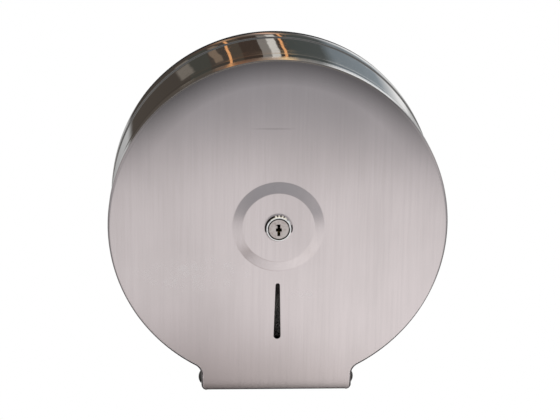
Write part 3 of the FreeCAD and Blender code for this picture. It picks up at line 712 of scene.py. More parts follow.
def band_steel(name="band_steel"):
    """Mirror-bright stainless sheet with fine rolling lines, rubs and a slight wave."""
    colours = finish_values()
    finish = Finish(name, metallic=1)
    rolling = finish.noise((40, 1800, 40), detail=3, roughness=0.6)
    wave = finish.noise((22, 34, 22), detail=1, roughness=0.4)
    rub = finish.noise((60, 260, 60), detail=5, roughness=0.65, location=(0, 2, 1))
    speck = finish.noise((900, 900, 900), detail=2)
    specks = finish.between(speck, 0.66, 0.72)
    film = finish.between(rub, 0.5, 0.72)
    tone = finish.mixed(film * 0.22, colours.band_steel, colours.grime_and_shade)
    tone = finish.mixed(specks * 0.3, tone, (0.22, 0.21, 0.20))
    depth = finish.axis("Y")
    # Painted shade along the pan's rear bend by the wall, with rougher steel there.
    back = finish.between(depth, -3 * MM, -1 * MM)
    tone = finish.mixed(back * 0.6, tone, colours.grime_and_shade)
    # Painted shade on the pan's front edge, where it laps over the band.
    lap_shade = panel(finish, depth, -29.3 * MM, -28.9 * MM, 0.1 * MM)
    tone = finish.mixed(lap_shade * 0.6, tone, dimmed(colours.band_steel, 0.28))
    rough = 0.012 + rolling * 0.02 + film * 0.04 + specks * 0.15 + back * 0.2
    return finish.surface(tone, rough, wave + rolling * 0.004, 0.5 * MM, 0.08)


def lock_chrome():
    """Polished chrome, with painted dark reflections on the slope of the lock's head and narrow bright
    glints left between them.
    """
    colours = finish_values()
    finish = Finish("lock_chrome", metallic=1)
    rub = finish.noise((700, 700, 700), detail=4, roughness=0.65)
    film = finish.between(rub, 0.52, 0.75)
    tone = finish.mixed(film * 0.2, colours.chrome, (0.36, 0.34, 0.32))
    bearing = finish.bearing()
    slope = panel(finish, finish.radius(), 10.1 * MM, 11.25 * MM, 0.1 * MM)
    # Painted dark reflections on the head's slope; the gaps between the arcs stay bright as glints.
    dark_reflection_arcs = ((-104, -17), (-9, -3), (5, 12), (20, 25), (72, 104))
    for low, high in dark_reflection_arcs:
        tone = finish.mixed(slope * panel(finish, bearing, low, high, 1.5), tone, colours.painted_dark_reflection)
    return finish.surface(tone, 0.05 + film * 0.14, rub, 0.01 * MM, 0.3)


def plug_nickel():
    """Satin plug face, with painted shade on its rim and on the keyway's walls."""
    colours = finish_values()
    finish = Finish("plug_nickel", metallic=1)
    grain = finish.noise((1500, 1500, 1500), detail=3, roughness=0.6)
    wear = finish.noise((520, 520, 520), detail=4, roughness=0.6)
    tone = finish.mixed(finish.between(wear, 0.4, 0.7), colours.nickel, (0.50, 0.43, 0.41))
    # Painted shade in the gap round the plug's rim.
    tone = finish.mixed(finish.between(finish.radius(), 7.7 * MM, 8.2 * MM), tone, colours.painted_recess_shade)
    # Painted shade on the keyway's walls, fading in just behind the plug's face.
    walls = finish.between(finish.axis("Y"), door_low.y - 3.9 * MM, door_low.y - 3.2 * MM)
    tone = finish.mixed(walls, tone, colours.painted_recess_shade)
    return finish.surface(tone, 0.34 + grain * 0.14, grain, 0.012 * MM, 0.4)


def moulded(name, base, roughness):
    """Moulded plastic with a fine grain."""
    finish = Finish(name)
    grain = finish.noise((1300, 1300, 1300), detail=3)
    cloud = finish.noise((60, 60, 60), detail=3)
    light = [min(1, part * 1.15) for part in base]
    tone = finish.mixed(cloud, dimmed(base, 0.8), light)
    return finish.surface(tone, roughness - 0.06 + grain * 0.14, grain, 0.03 * MM, 0.35)


def drawn_tube():
    """Steel tube with lines along it from the drawing."""
    steel = finish_values().spindle_steel
    finish = Finish("spindle_steel", metallic=1)
    lines = finish.noise((700, 14, 700), detail=3, roughness=0.6)
    rub = finish.noise((90, 60, 90), detail=4)
    tone = finish.mixed(finish.between(rub, 0.4, 0.75), steel, dimmed(steel, 0.7))
    return finish.surface(tone, 0.22 + lines * 0.16, lines, 0.01 * MM, 0.5)


def ground_blade():
    """Ground steel with lines across the blade."""
    steel = finish_values().blade_steel
    finish = Finish("blade_steel", metallic=1)
    lines = finish.noise((900, 30, 900), detail=3, roughness=0.6)
    tone = finish.mixed(lines, dimmed(steel, 0.72), steel)
    return finish.surface(tone, 0.2 + lines * 0.2, lines, 0.01 * MM, 0.4)


finishes = {}


def make_finishes():
    colours = finish_values()
    return {
        "door_steel": door_steel(),
        "band_steel": band_steel(),
        "pan_steel": band_steel("pan_steel"),
        "blade_steel": ground_blade(),
        "rivet_steel": plain_metal("rivet_steel", colours.rivet_steel, 0.42, wear=0.35),
        "spindle_steel": drawn_tube(),
        "zinc_plate": plain_metal("zinc_plate", colours.zinc, 0.26, grain=(160, 160, 160)),
        "spring_steel": plain_metal("spring_steel", colours.spring_steel, 0.36),
        "sleeve_plastic": moulded("sleeve_plastic", colours.plastic, 0.48),
        "nylon": moulded("nylon", colours.nylon, 0.45),
        "lock_chrome": lock_chrome(),
        "plug_nickel": plug_nickel(),
        "wafer_brass": plain_metal("wafer_brass", colours.brass, 0.3),
    }


def finish_of(slot):
    """The finish of a material slot, made on first use."""
    if slot not in finishes:
        finishes.update(make_finishes())
    return finishes[slot]


class DISPENSER_OT_finishes(bpy.types.Operator):
    """Makes the finishes of metal and plastic"""

    bl_idname = "dispenser.finishes"
    bl_label = "Make finishes"

    def execute(self, context):
        finishes.update(make_finishes())
        return {"FINISHED"}


# The sheets


class SheetStep:
    """A step that forms one sheet, and forms it again if most of its skin is missing."""

    def execute(self, context):
        least = skin_area(frame["nodes"][self.node]) * SKIN_LEFT
        for _ in range(TRIES):
            piece = self.form(context.scene)
            if skin_area(piece) > least:
                break
            bpy.data.objects.remove(piece)
        else:
            raise RuntimeError("The sheet of " + self.node + " failed")
        dress(piece, self.body, self.material, self.node)
        return {"FINISHED"}


class DISPENSER_OT_door(SheetStep, bpy.types.Operator):
    """Forms the front panel: face, boss, level slot, flange, ears and hem"""

    bl_idname = "dispenser.door"
    bl_label = "Form the door"
    body, material, node = "door", "door_steel", "door_panel"

    def form(self, scene):
        outline = Outline(scene.dispenser_outline)
        door = scene.dispenser_door
        lock = scene.dispenser_lock
        face_depth = -door_low.y - door.boss_height
        bend = arc_points((door.bend, face_depth - door.bend), door.bend, 180, 90, BEND_STEPS)
        section = [(0, face_depth - door.flange)] + bend + [(door.bend + SUPPORT, face_depth)]
        places = outline.section(section)
        piece = start_section("door_panel_sheet", places)
        outline.carry()
        self.ears(outline, door, face_depth)
        self.bottom_edge(outline, door, face_depth)
        boss = self.boss(door, lock, face_depth)
        slot = self.slot_line(door, face_depth)
        join_into(piece, [boss, slot])
        inner = outline.half_width - door.bend - SUPPORT
        pick_open_edges(
            lambda v: near(v.y, -face_depth) and math.hypot(v.x, v.z) > door.boss_outer
            and (v.z > outline.bottom + REACH or abs(v.x) < inner + REACH)
        )
        bpy.ops.mesh.fill(use_beauty=True)
        self.hem(outline, door, face_depth)
        merge_all()
        face_out(piece, Vector((0.08, -face_depth, 0)), TO_FRONT)
        thicken(piece, door.sheet)
        cut_out(piece, self.corner_blocks(outline, face_depth) + [self.lock_hole(lock)])
        round_edges(piece, door.edge)
        return piece

    def ears(self, outline, door, face_depth):
        pivot_depth = -pivot.y
        flange_depth = face_depth - door.flange
        low = pivot.z - door.ear
        rounds = [pivot.z - door.ear * math.sin(math.radians(15 * step)) for step in range(6)]

        def free_edge(height):
            if height > pivot.z:
                share_down = (outline.neck_z - height) / (outline.neck_z - pivot.z)
                return flange_depth + (pivot_depth - door.ear - flange_depth) * share_down
            return pivot_depth - math.sqrt(max(0, door.ear ** 2 - (pivot.z - height) ** 2))

        for side in (1, -1):
            outline.carry_down(side, rounds + [low + REACH], free_edge)
            behind = -face_depth + door.bend + REACH
            pick(lambda v: near(v.z, low + REACH) and v.x * side > 0 and v.y < behind)
            pull(z=outline.bottom - low - REACH)

    def bottom_edge(self, outline, door, face_depth):
        """Draws the face's lower boundary, which the hem folds under."""
        half = outline.half_width - outline.corner
        inner = outline.half_width - door.bend - SUPPORT
        fold = outline.bottom + door.sheet + door.hem_gap / 2
        corners = [(inner, outline.bottom), (half, outline.bottom), (half, fold)]
        corners += [(-x, z) for x, z in reversed(corners)]
        points = [Vector((x, -face_depth, z)) for x, z in corners]
        pick(lambda v: (v - points[0]).length < REACH)
        draw_line(points)

    def boss(self, door, lock, face_depth):
        """The pressed boss, spun from a slope between two bends, with its flat up to the lock hole."""
        bend = door.boss_bend
        half_run = door.boss_run / 2
        height_left = bend - door.boss_height / 2
        slope = math.atan2(half_run, height_left) - math.acos(bend / math.hypot(half_run, height_left))
        turns = [slope * step / BEND_STEPS for step in range(BEND_STEPS + 1)]
        steps = [(bend * math.sin(a), bend * (1 - math.cos(a))) for a in turns]
        inner = door.boss_outer - door.boss_run
        top = -face_depth - door.boss_height
        low = [(door.boss_outer - across, -face_depth - rise) for across, rise in steps]
        high = [(inner + across, top + rise) for across, rise in reversed(steps)]
        flat = [(door.boss_outer + CREASE, -face_depth)]
        inside = [(inner - CREASE, top), (lock.barrel * 0.5, top)]
        return spun("boss", flat + low + high[1:] + inside, steps=144)

    def slot_line(self, door, face_depth):
        top = -(door.slot_top + door.slot_top_radius)
        bottom = -(door.slot_bottom - door.slot_bottom_radius)
        lean = math.asin((door.slot_bottom_radius - door.slot_top_radius) / (top - bottom))
        steps = 14

        def round_end(radius, z, start, end):
            angles = [start + (end - start) * step / steps for step in range(steps + 1)]
            return [Vector((radius * math.cos(a), -face_depth, z + radius * math.sin(a))) for a in angles]

        points = round_end(door.slot_top_radius, top, lean, math.pi - lean)
        points += round_end(door.slot_bottom_radius, bottom, math.pi - lean, math.tau + lean)
        points.append(points[0])
        piece = start_line("level_slot_line", points[0])
        draw_line(points)
        bpy.ops.object.mode_set(mode="OBJECT")
        return piece

    def hem(self, outline, door, face_depth):
        radius = door.sheet + door.hem_gap / 2
        fold = outline.bottom + radius
        half = outline.half_width - outline.corner
        pick_open_edges(lambda v: near(v.y, -face_depth) and near(v.z, fold) and abs(v.x) < half + REACH)
        turn(math.pi, BEND_STEPS, (0, -face_depth + radius, fold), ALONG_X)
        pull(z=door.hem - radius)

    def corner_blocks(self, outline, face_depth):
        """What is cut off to round the tab's two bottom corners, kept clear of the hem's ends."""
        aside = 0.03 * MM
        centre = (outline.half_width - outline.corner + aside, outline.bottom + outline.corner - aside)
        beyond = outline.corner + 2 * MM
        arc = arc_points(centre, outline.corner, 0, -90, 12)
        corners = arc + [(centre[0], centre[1] - beyond), (centre[0] + beyond, centre[1] - beyond)]
        corners.append((centre[0] + beyond, centre[1]))
        front = -face_depth - MM
        return [block([(x * side, z) for x, z in corners], front, 20 * MM) for side in (1, -1)]

    def lock_hole(self, lock):
        """The double-D hole that keeps the lock's barrel from turning."""
        lean = math.degrees(math.acos(lock.flats / lock.barrel))
        corners = arc_points((0, 0), lock.barrel, lean, 180 - lean, 24)
        corners += arc_points((0, 0), lock.barrel, 180 + lean, 360 - lean, 24)
        return block(corners, door_low.y - 2 * MM, 5 * MM)


class DISPENSER_OT_drum_band(SheetStep, bpy.types.Operator):
    """Forms the mirror-bright band with its drawn-in front and inward lip"""

    bl_idname = "dispenser.drum_band"
    bl_label = "Form the drum band"
    body, material, node = "case", "band_steel", "drum_band"

    def form(self, scene):
        outline = Outline(scene.dispenser_outline)
        drum = scene.dispenser_drum
        rear = -band_high.y
        front = -band_low.y
        slope = (drum.front_inset - drum.sheet) / (drum.step_front - drum.step_rear)
        lip_start = front - drum.lip_bend
        section = [
            (drum.sheet, rear),
            (drum.sheet, drum.step_rear - CREASE),
            (drum.sheet + CREASE * slope, drum.step_rear + CREASE),
            (drum.front_inset - CREASE * slope, drum.step_front - CREASE),
            (drum.front_inset, drum.step_front + CREASE),
            (drum.front_inset, lip_start),
        ]
        places = outline.section(section)
        piece = start_section("drum_band_sheet", places)
        outline.carry()
        self.cheek_fronts(outline, front, lip_start)
        lip = self.lip(outline, drum, front, lip_start)
        join_into(piece, [lip])
        self.cheeks(outline, drum, front)
        face_out(piece, Vector((0, -0.06, outline.radius)), Vector((0, 0, 1)))
        thicken(piece, drum.sheet)
        round_edges(piece, drum.edge)
        return piece

    def cheek_fronts(self, outline, front, lip_start):
        """Carries the plain front edge of the two necks forward to the lip's depth."""
        slack = 0.0001
        neck_start = outline.neck_angle - slack
        pick_open_edges(lambda v: near(v.y, -lip_start) and math.atan2(-v.z, abs(v.x)) > neck_start)
        pull(y=lip_start - front)

    def lip(self, outline, drum, front, lip_start):
        bend = arc_points((drum.front_inset + drum.lip_bend, lip_start), drum.lip_bend, 180, 90, 6)
        places = outline.on_drum(bend + [(drum.front_inset + drum.lip, front)])
        piece = start_section("band_lip", places)
        outline.carry_drum()
        bpy.ops.object.mode_set(mode="OBJECT")
        return piece

    def cheeks(self, outline, drum, front):
        pivot_depth = -pivot.y
        bottom = band_low.z
        steps = 5
        heights = [pivot.z + (bottom - pivot.z) * step / steps for step in range(steps + 1)]

        def free_edge(height):
            drop = max(0, pivot.z - height)
            return min(front, pivot_depth + math.sqrt(drum.relief ** 2 - drop ** 2))

        for side in (1, -1):
            outline.carry_down(side, heights, free_edge)


class DISPENSER_OT_back_pan(SheetStep, bpy.types.Operator):
    """Forms the back pan with its deep rim, dish and screw holes"""

    bl_idname = "dispenser.back_pan"
    bl_label = "Form the back pan"
    body, material, node = "case", "pan_steel", "back_pan"

    def form(self, scene):
        outline = Outline(scene.dispenser_outline)
        drum = scene.dispenser_drum
        bottom = pan_low.z
        crown_start = drum.pan_depth - drum.pan_straight
        crown_run = crown_start - drum.pan_bend
        crown_radius = (crown_run ** 2 + drum.pan_draw ** 2) / (2 * drum.pan_draw)
        crown = []
        for step in range(BEND_STEPS + 1):
            along = crown_run * step / BEND_STEPS
            crown.append((crown_radius - math.sqrt(crown_radius ** 2 - along ** 2), crown_start - along))
        centre = (drum.pan_draw + drum.pan_bend, drum.pan_bend)
        bend = arc_points(centre, drum.pan_bend, 180, 270, BEND_STEPS)
        flat = [(centre[0] + SUPPORT, 0)]
        places = outline.section([(0, drum.pan_depth)] + crown + bend[1:] + flat)
        piece = start_section("back_pan_sheet", places)
        outline.carry()
        for side in (1, -1):
            outline.carry_down(side, [bottom])
        inner = outline.half_width - flat[0][0]
        ends = [Vector((inner, 0, bottom)), Vector((-inner, 0, bottom))]
        pick(lambda v: (v - ends[0]).length < REACH)
        draw_line(ends)
        dish = spun("dish", [
            (drum.dish_outer + SUPPORT, 0),
            (drum.dish_outer, -0.05 * MM),
            (drum.dish_inner + SUPPORT, -drum.dish_height + 0.1 * MM),
            (drum.dish_inner - SUPPORT, -drum.dish_height),
            (0, -drum.dish_height),
        ])
        holes = [self.screw_hole(drum, x, z) for x in (-1, 1) for z in (-1, 1)]
        join_into(piece, [dish] + holes)
        pick_open_edges(lambda v: near(v.y, 0) and (v.z > bottom + REACH or abs(v.x) < inner + REACH))
        bpy.ops.mesh.fill(use_beauty=True)
        merge_all()
        face_out(piece, Vector((0.09, 0, 0)), ALONG_Y)
        thicken(piece, drum.sheet)
        round_edges(piece, drum.edge)
        return piece

    def screw_hole(self, drum, side, height):
        centre = Vector((side * drum.screw_x / 2, 0, height * drum.screw_z / 2))
        piece = start_line("screw_hole", centre + Vector((drum.screw_hole, 0, 0)))
        turn(math.tau, 32, centre, ALONG_Y)
        bpy.ops.object.mode_set(mode="OBJECT")
        return piece


# The lock and the rivets


class DISPENSER_OT_lock_housing(bpy.types.Operator):
    """Turns the lock's head and its threaded barrel with two flats"""

    bl_idname = "dispenser.lock_housing"
    bl_label = "Turn the lock housing"

    def execute(self, context):
        lock = context.scene.dispenser_lock
        seat = door_low.y
        front = seat - lock.height
        floor = front + lock.recess + lock.plug_sheet
        inner = lock.ring - lock.ring_width
        end = seat + lock.barrel_depth
        bore = lock.plug + PLAY
        run, rise = lock.head - lock.ring, lock.height - lock.skirt
        wide, narrow = 0.25 * MM, 0.2 * MM
        profile = [
            (bore, seat), (bore, floor), (inner, floor), (inner, front + wide),
            (inner + narrow, front), (lock.ring - wide, front), (lock.ring, front + narrow),
        ]
        for share_out, share_down in ((0.62, 0.34), (0.93, 0.72)):
            profile.append((lock.ring + run * share_out, front + rise * share_down))
        profile += [(lock.head, seat - lock.skirt), (lock.head, seat), (bore, seat)]
        head = spun("lock_housing_turned", profile, steps=128)
        root = lock.barrel - lock.thread_depth
        thread_start, spare = 1.2 * MM, 1.5 * MM
        turns = int((lock.barrel_depth - spare) / lock.thread_pitch)
        thread = [(bore, seat), (root, seat)]
        for index in range(turns):
            foot = seat + thread_start + index * lock.thread_pitch
            thread.append((root, foot))
            for share in (0.42, 0.58):
                thread.append((lock.barrel, foot + lock.thread_pitch * share))
        thread += [(root, end), (bore, end), (bore, seat)]
        barrel = spun("lock_barrel", thread, steps=72)
        select_only(barrel)
        bpy.ops.object.mode_set(mode="EDIT")
        for side in (1, -1):
            bpy.ops.mesh.select_all(action="SELECT")
            bpy.ops.mesh.bisect(
                plane_co=(side * lock.flats, 0, 0), plane_no=(side, 0, 0), clear_outer=True, use_fill=True,
            )
        bpy.ops.object.mode_set(mode="OBJECT")
        round_edges(head, lock.edge, limit=35, segments=3)
        select_only(barrel)
        bpy.ops.object.shade_smooth_by_angle(angle=math.radians(25))
        join_into(head, [barrel])
        bpy.ops.object.mode_set(mode="OBJECT")
        dress(head, "door", "lock_chrome", "lock_housing")
        return {"FINISHED"}


class DISPENSER_OT_lock_plug(bpy.types.Operator):
    """Turns the plug, squares its tail and cuts the keyway"""

    bl_idname = "dispenser.lock_plug"
    bl_label = "Make the lock plug"

    def execute(self, context):
        lock = context.scene.dispenser_lock
        seat = door_low.y
        front = seat - lock.height + lock.recess
        back = front + lock.plug_sheet - PLAY
        end = seat + lock.barrel_depth
        chamfer = 0.35 * MM
        piece = spun("lock_plug_turned", [
            (0, front), (lock.plug_head - chamfer, front), (lock.plug_head, front + chamfer),
            (lock.plug_head, back), (lock.plug, back), (lock.plug, end), (0, end),
        ])
        self.cut_keyway(piece, lock, front)
        round_edges(piece, 0.1 * MM)
        tail = self.tail(lock, end)
        join_into(piece, [tail])
        bpy.ops.object.mode_set(mode="OBJECT")
        dress(piece, "lock", "plug_nickel", "lock_plug")
        return {"FINISHED"}

    def cut_keyway(self, piece, lock, front):
        half, wing, top, low = lock.key_half, lock.key_wing, lock.key_top, -lock.key_bottom
        wing_top, wing_bottom, hook_bottom = top * 0.2, -top * 0.45, top * 0.72
        hook_width = 0.65 * MM
        hook = -(half + hook_width)
        corners = [
            (-half, low), (half, low), (half, wing_bottom), (wing, wing_bottom), (wing, wing_top),
            (half, wing_top), (half, top), (hook, top), (hook, hook_bottom), (-half, hook_bottom),
            (-half, wing_top), (-wing, wing_top), (-wing, wing_bottom), (-half, wing_bottom),
        ]
        cut_out(piece, [block(corners, front - MM, MM + lock.key_depth)])

    def tail(self, lock, end):
        select_only()
        bpy.ops.mesh.primitive_cube_add(size=1, location=(0, end + lock.tail_depth / 2, 0))
        tail = bpy.context.object
        tail.name = "plug_tail"
        tail.scale = (2 * lock.tail, lock.tail_depth, 2 * lock.tail)
        bpy.ops.object.transform_apply(location=True, rotation=True, scale=True)
        round_edges(tail, 0.2 * MM)
        return tail


class DISPENSER_OT_hinge_rivets(bpy.types.Operator):
    """Turns the two hinge rivets with their heads and clinched ends"""

    bl_idname = "dispenser.hinge_rivets"
    bl_label = "Turn the hinge rivets"

    def execute(self, context):
        rivet = context.scene.dispenser_rivets
        for side, name in ((1, "right"), (-1, "left")):
            low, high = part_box(f"hinge_rivet_{name}")
            outer = (high.x if side > 0 else -low.x) - rivet.head_height
            inner = (low.x if side > 0 else -high.x) + rivet.clinch_height
            profile = self.dome(rivet.head, outer, rivet.head_height)
            profile += [(rivet.shank, outer), (rivet.shank, inner)]
            profile += reversed(self.dome(rivet.clinch, inner, -rivet.clinch_height))
            profile = [(radius, side * along) for radius, along in profile]
            centre = Vector((0, pivot.y, pivot.z))
            piece = spun(f"hinge_rivet_{name}_turned", profile, steps=48, axis=ALONG_X, origin=centre)
            round_edges(piece, 0.12 * MM, limit=45)
            dress(piece, "case", "rivet_steel", f"hinge_rivet_{name}")
        return {"FINISHED"}

    def dome(self, radius, base, height):
        """Domed head from its crown to its edge, with a short straight edge."""
        rise = height * 0.8
        ball = (radius ** 2 + rise ** 2) / (2 * abs(rise))
        top = math.asin(radius / ball)
        points = []
        for step in range(BEND_STEPS + 1):
            angle = top * step / BEND_STEPS
            drop = math.copysign(ball * (1 - math.cos(angle)), height)
            points.append((ball * math.sin(angle), base + height - drop))
        return points + [(radius, base)]


class DISPENSER_OT_inner_parts(bpy.types.Operator):
    """Finishes the inner pieces: spindle, sleeve, blades, rivets, washers and cam"""

    bl_idname = "dispenser.inner_parts"
    bl_label = "Finish the inner parts"

    rounding_mm = {
        "tear_blade_right": 0.06, "tear_blade_left": 0.06, "blade_rivets": 0.12, "spindle_tube": 0.2,
        "spindle_base": 0.2, "spindle_rivets": 0.15, "strike_cap": 0.15, "retaining_ring": 0.1,
        "core_sleeve": 0.35, "hinge_washer_right": 0.08, "hinge_washer_left": 0.08,
        "tumbler_wafers": 0.06, "lock_washer": 0.08, "lock_nut": 0.35, "lock_cam": 0.25,
        "cam_washer": 0.08, "cam_screw": 0.2,
    }

    def execute(self, context):
        slots = {entry["node"]: entry["material_slot"] for entry in frame["record"]["subparts"]}
        for node, width in self.rounding_mm.items():
            source = frame["nodes"][node]
            select_only()
            piece = source.copy()
            piece.data = source.data.copy()
            piece.name = node + "_finished"
            piece.parent = None
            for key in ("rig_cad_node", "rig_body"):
                if key in piece:
                    del piece[key]
            context.scene.collection.objects.link(piece)
            select_only(piece)
            bpy.ops.object.mode_set(mode="EDIT")
            merge_all()
            bpy.ops.mesh.tris_convert_to_quads(face_threshold=math.radians(1), shape_threshold=math.pi)
            bpy.ops.mesh.dissolve_limited(angle_limit=math.radians(0.5))
            bpy.ops.object.mode_set(mode="OBJECT")
            round_edges(piece, width * MM)
            dress(piece, source["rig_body"], slots[node], node)
        return {"FINISHED"}


# The studio


def card(name, size, centre, rotation, paint):
    """A reflector that only polished metal sees."""
    select_only()
    bpy.ops.mesh.primitive_plane_add(size=1, location=(0, 0, 0))
    piece = bpy.context.object
    piece.name = name
    piece.scale = (size[0], size[1], 1)
    piece.rotation_euler = rotation
    piece.location = centre
    bpy.ops.object.transform_apply(location=True, rotation=True, scale=True)
    piece.visible_camera = False
    piece.visible_diffuse = False
    piece.visible_shadow = False
    piece.visible_transmission = False
    piece.data.materials.append(paint)
    return piece


def glowing(name, shades, strength):
    """A paint that gives off the colours of a function and reflects nothing."""
    finish = Finish(
        name, base_color=(0, 0, 0), roughness=1, emission_strength=strength, specular_ior_level=0,
    )
    finish.feed("Emission Color", shades(finish))
    return finish.material


def grey(value, warmth=0):
    return (value * (1 + warmth), value, value * (1 - warmth))


def ramp(finish, value, stops):
    """Colours along a value. Each stop is its place and a colour, or its place and a grey."""
    low, high = stops[0][0], stops[-1][0]
    along = finish.between(value, low, high, curve="LINEAR")
    placed = []
    for place, *shade in stops:
        colour_there = shade if len(shade) == 3 else grey(*shade)
        placed.append(((place - low) / (high - low), colour_there))
    return finish.add("ShaderNodeValToRGB", {"stops": placed}, {0: along})


def front_shades(finish):
    """What the satin face sees: dimmer above, brightest low down, browner at the lower left."""
    across, up = finish.axis("X"), finish.axis("Z")
    shades = ramp(finish, up + across * across, [
        (-0.90, 0.28, 0.03), (-0.40, 0.30, 0.05), (-0.33, 0.38, 0.05), (-0.30, 0.46, 0.04),
        (-0.27, 0.61, 0.02), (-0.24, 0.70), (-0.20, 0.72), (-0.17, 0.67), (-0.125, 0.64),
        (-0.097, 0.64), (-0.073, 0.65), (-0.054, 0.56), (-0.034, 0.46), (-0.020, 0.39, -0.01),
        (-0.008, 0.345, -0.02), (0.008, 0.305, -0.03), (0.040, 0.275, -0.04), (0.10, 0.31, -0.04),
        (0.36, 0.34, -0.04), (0.90, 0.26, -0.04),
    ])
    beside = finish.between(across * across, 0.17 ** 2, 0.26 ** 2) * panel(finish, up, -0.02, 0.28, 0.03)
    shades = finish.mixed(beside, shades, grey(0.46))
    sideways = ramp(finish, across, [
        (-0.3, 0.84), (-0.1, 0.86), (0.02, 0.91), (0.15, 1.0), (0.3, 1.0),
    ])
    shades = finish.mixed(1, shades, sideways, "MULTIPLY")
    beside_left = finish.between(across, 0.035, -0.075) * finish.between(across, -0.20, -0.10)
    shadow = beside_left * finish.between(up, -0.18, -0.31, curve="LINEAR")
    return finish.mixed(shadow, shades, (0.06, 0.035, 0.03))


def panel(finish, value, low, high, soft=0.35):
    """1 between two places along a value and 0 beyond them."""
    return finish.between(value, low - soft, low + soft) - finish.between(value, high - soft, high + soft)


def room_shades(finish):
    """What the mirror band sees behind: a dark room with two lamps, a window and a bright wall.

    A patch lists its colour, the bearing that it follows, its two ends along that bearing, their softness,
    and its nearest and farthest distance from the axis.
    """
    bearing, reach = finish.bearing(), finish.radius()
    middle, farthest = 0.38, 0.40
    band_reach = finish.add("ShaderNodeMath", {"operation": "MINIMUM"}, {0: reach, 1: farthest})
    bearing = bearing + finish.between(reach, 0.42, 0.50) * (bearing * 0.138 + 1.3)
    leaning = bearing - (band_reach - middle) * 110
    slanting = bearing - (band_reach - middle) * 240
    amber = (0.98, 0.47, 0.20)
    shades = ramp(finish, leaning, [
        (-180, 0.30), (-130, 0.16), (-110, 0.078, 0.066, 0.056), (12, 0.066, 0.055, 0.046),
        (16, 0.072, 0.082, 0.078), (38, 0.085, 0.094, 0.092), (46, 0.20, 0.235, 0.26),
        (80, 0.26, 0.30, 0.33), (100, 0.85), (120, 0.92), (134, 0.10), (180, 0.03),
    ])
    patches = (
        ((0.070, 0.070, 0.060), leaning, -53.5, -38, 0.35, 0, 1),
        ((0.205, 0.182, 0.157), slanting, -62, -52, 1.2, 0.377, 0.398),
        ((0.235, 0.175, 0.128), slanting, -37, -31.5, 0.35, 0.376, 0.399),
        ((0.085, 0.070, 0.055), leaning, -24, -16, 1, 0.374, 1),
        ((0.060, 0.043, 0.034), leaning, -16, -3.8, 0.35, 0.374, 1),
        (amber, leaning, -25.4, -23.7, 0.3, 0.30, 1),
        ((0.26, 0.24, 0.22), leaning, -3.6, 3.0, 0.2, 0.374, 1),
        ((0.74, 0.72, 0.68), leaning, 2.4, 8.0, 0.6, 0.374, 1),
        (amber, leaning, 10.8, 12.6, 0.3, 0.30, 1),
    )
    for shade, value, low, high, soft, inner, outer in patches:
        mask = panel(finish, value, low, high, soft) * panel(finish, reach, inner, outer, 0.001)
        shades = finish.mixed(mask, shades, shade)
    flange_shades = ramp(finish, bearing, [
        (-120, 0.090, 0.078, 0.070), (-36, 0.085, 0.070, 0.056), (-27, 0.20, 0.12, 0.08),
        (-23, 0.62, 0.31, 0.13), (-19, 0.26, 0.12, 0.06), (-8, 0.19, 0.12, 0.085),
        (0, 0.30, 0.22, 0.16), (7, 0.44, 0.32, 0.24), (13, 0.80, 0.58, 0.32), (17, 0.70, 0.50, 0.30),
        (22, 0.27, 0.24, 0.21), (36, 0.26, 0.26, 0.26), (44, 0.75), (56, 1), (86, 1), (97, 0.36),
        (112, 0.13), (140, 0.25),
    ])
    shades = finish.mixed(panel(finish, reach, 0.4025, 0.47, 0.001), shades, flange_shades)
    near_shades = ramp(finish, leaning, [
        (-180, 0.03), (-140, 0.03), (-100, 0.055, 0.049, 0.044), (-60, 0.065, 0.056, 0.048),
        (-32, 0.10, 0.065, 0.05), (-27, 0.22, 0.13, 0.08), (-19, 0.50, 0.32, 0.20),
        (-12, 0.16, 0.11, 0.08), (2, 0.22, 0.19, 0.17), (9, 0.80, 0.52, 0.40), (17, 0.55, 0.34, 0.22),
        (23, 0.12, 0.115, 0.10), (38, 0.14), (50, 0.50, -0.03), (75, 0.95, -0.02), (100, 0.60),
        (130, 0.80), (150, 0.03), (180, 0.03),
    ])
    shades = finish.mixed(finish.between(reach, 0.371, 0.365), shades, near_shades)
    shades = finish.mixed(finish.between(reach, 0.29, 0.25), shades, grey(0.03))
    lower = ramp(finish, finish.axis("Z"), [
        (-0.9, 0.2), (-0.45, 0.30), (-0.15, 0.50), (0, 0.5),
    ])
    return finish.mixed(finish.between(finish.axis("Z"), -0.10, -0.16), shades, lower)


def wall_shades(finish):
    """A plain side wall, lighter higher up."""
    return ramp(finish, finish.axis("Z"), [
        (-0.9, 0.16), (-0.30, 0.24), (-0.05, 0.38), (0.25, 0.52), (0.9, 0.36),
    ])


def blind_shades(finish):
    """The right wall, with a pale blind near the front."""
    blind = panel(finish, finish.axis("Z"), 0.26, 0.60, 0.03)
    blind = blind * finish.between(finish.axis("Y"), -0.15, -0.18)
    return finish.mixed(blind, wall_shades(finish), (0.72, 0.82, 0.84))


def ceiling_shades(finish):
    """A grey ceiling, pale over the front."""
    shades = ramp(finish, finish.axis("X"), [
        (-1.1, 0.36), (-0.4, 0.26), (0.0, 0.34), (0.4, 0.26), (1.1, 0.36),
    ])
    return finish.mixed(finish.between(finish.axis("Y"), -0.14, -0.26), shades, (1.0, 0.96, 0.80))


def table_shades(finish):
    """A bright table edge in front and a dark place under the drum."""
    across, depth = finish.axis("X"), finish.axis("Y")
    edge = ramp(finish, across, [
        (-0.5, 0.3), (-0.42, 0.5), (-0.15, 0.62), (0, 0.85), (0.12, 1), (0.42, 1), (0.5, 0.3),
    ])
    shades = finish.mixed(finish.between(depth, -0.17, -0.24), grey(0.15), edge)
    under = panel(finish, depth, -0.17, 0.60, 0.03) * panel(finish, across, -0.17, 0.17, 0.06)
    return finish.mixed(under, shades, grey(0.01))


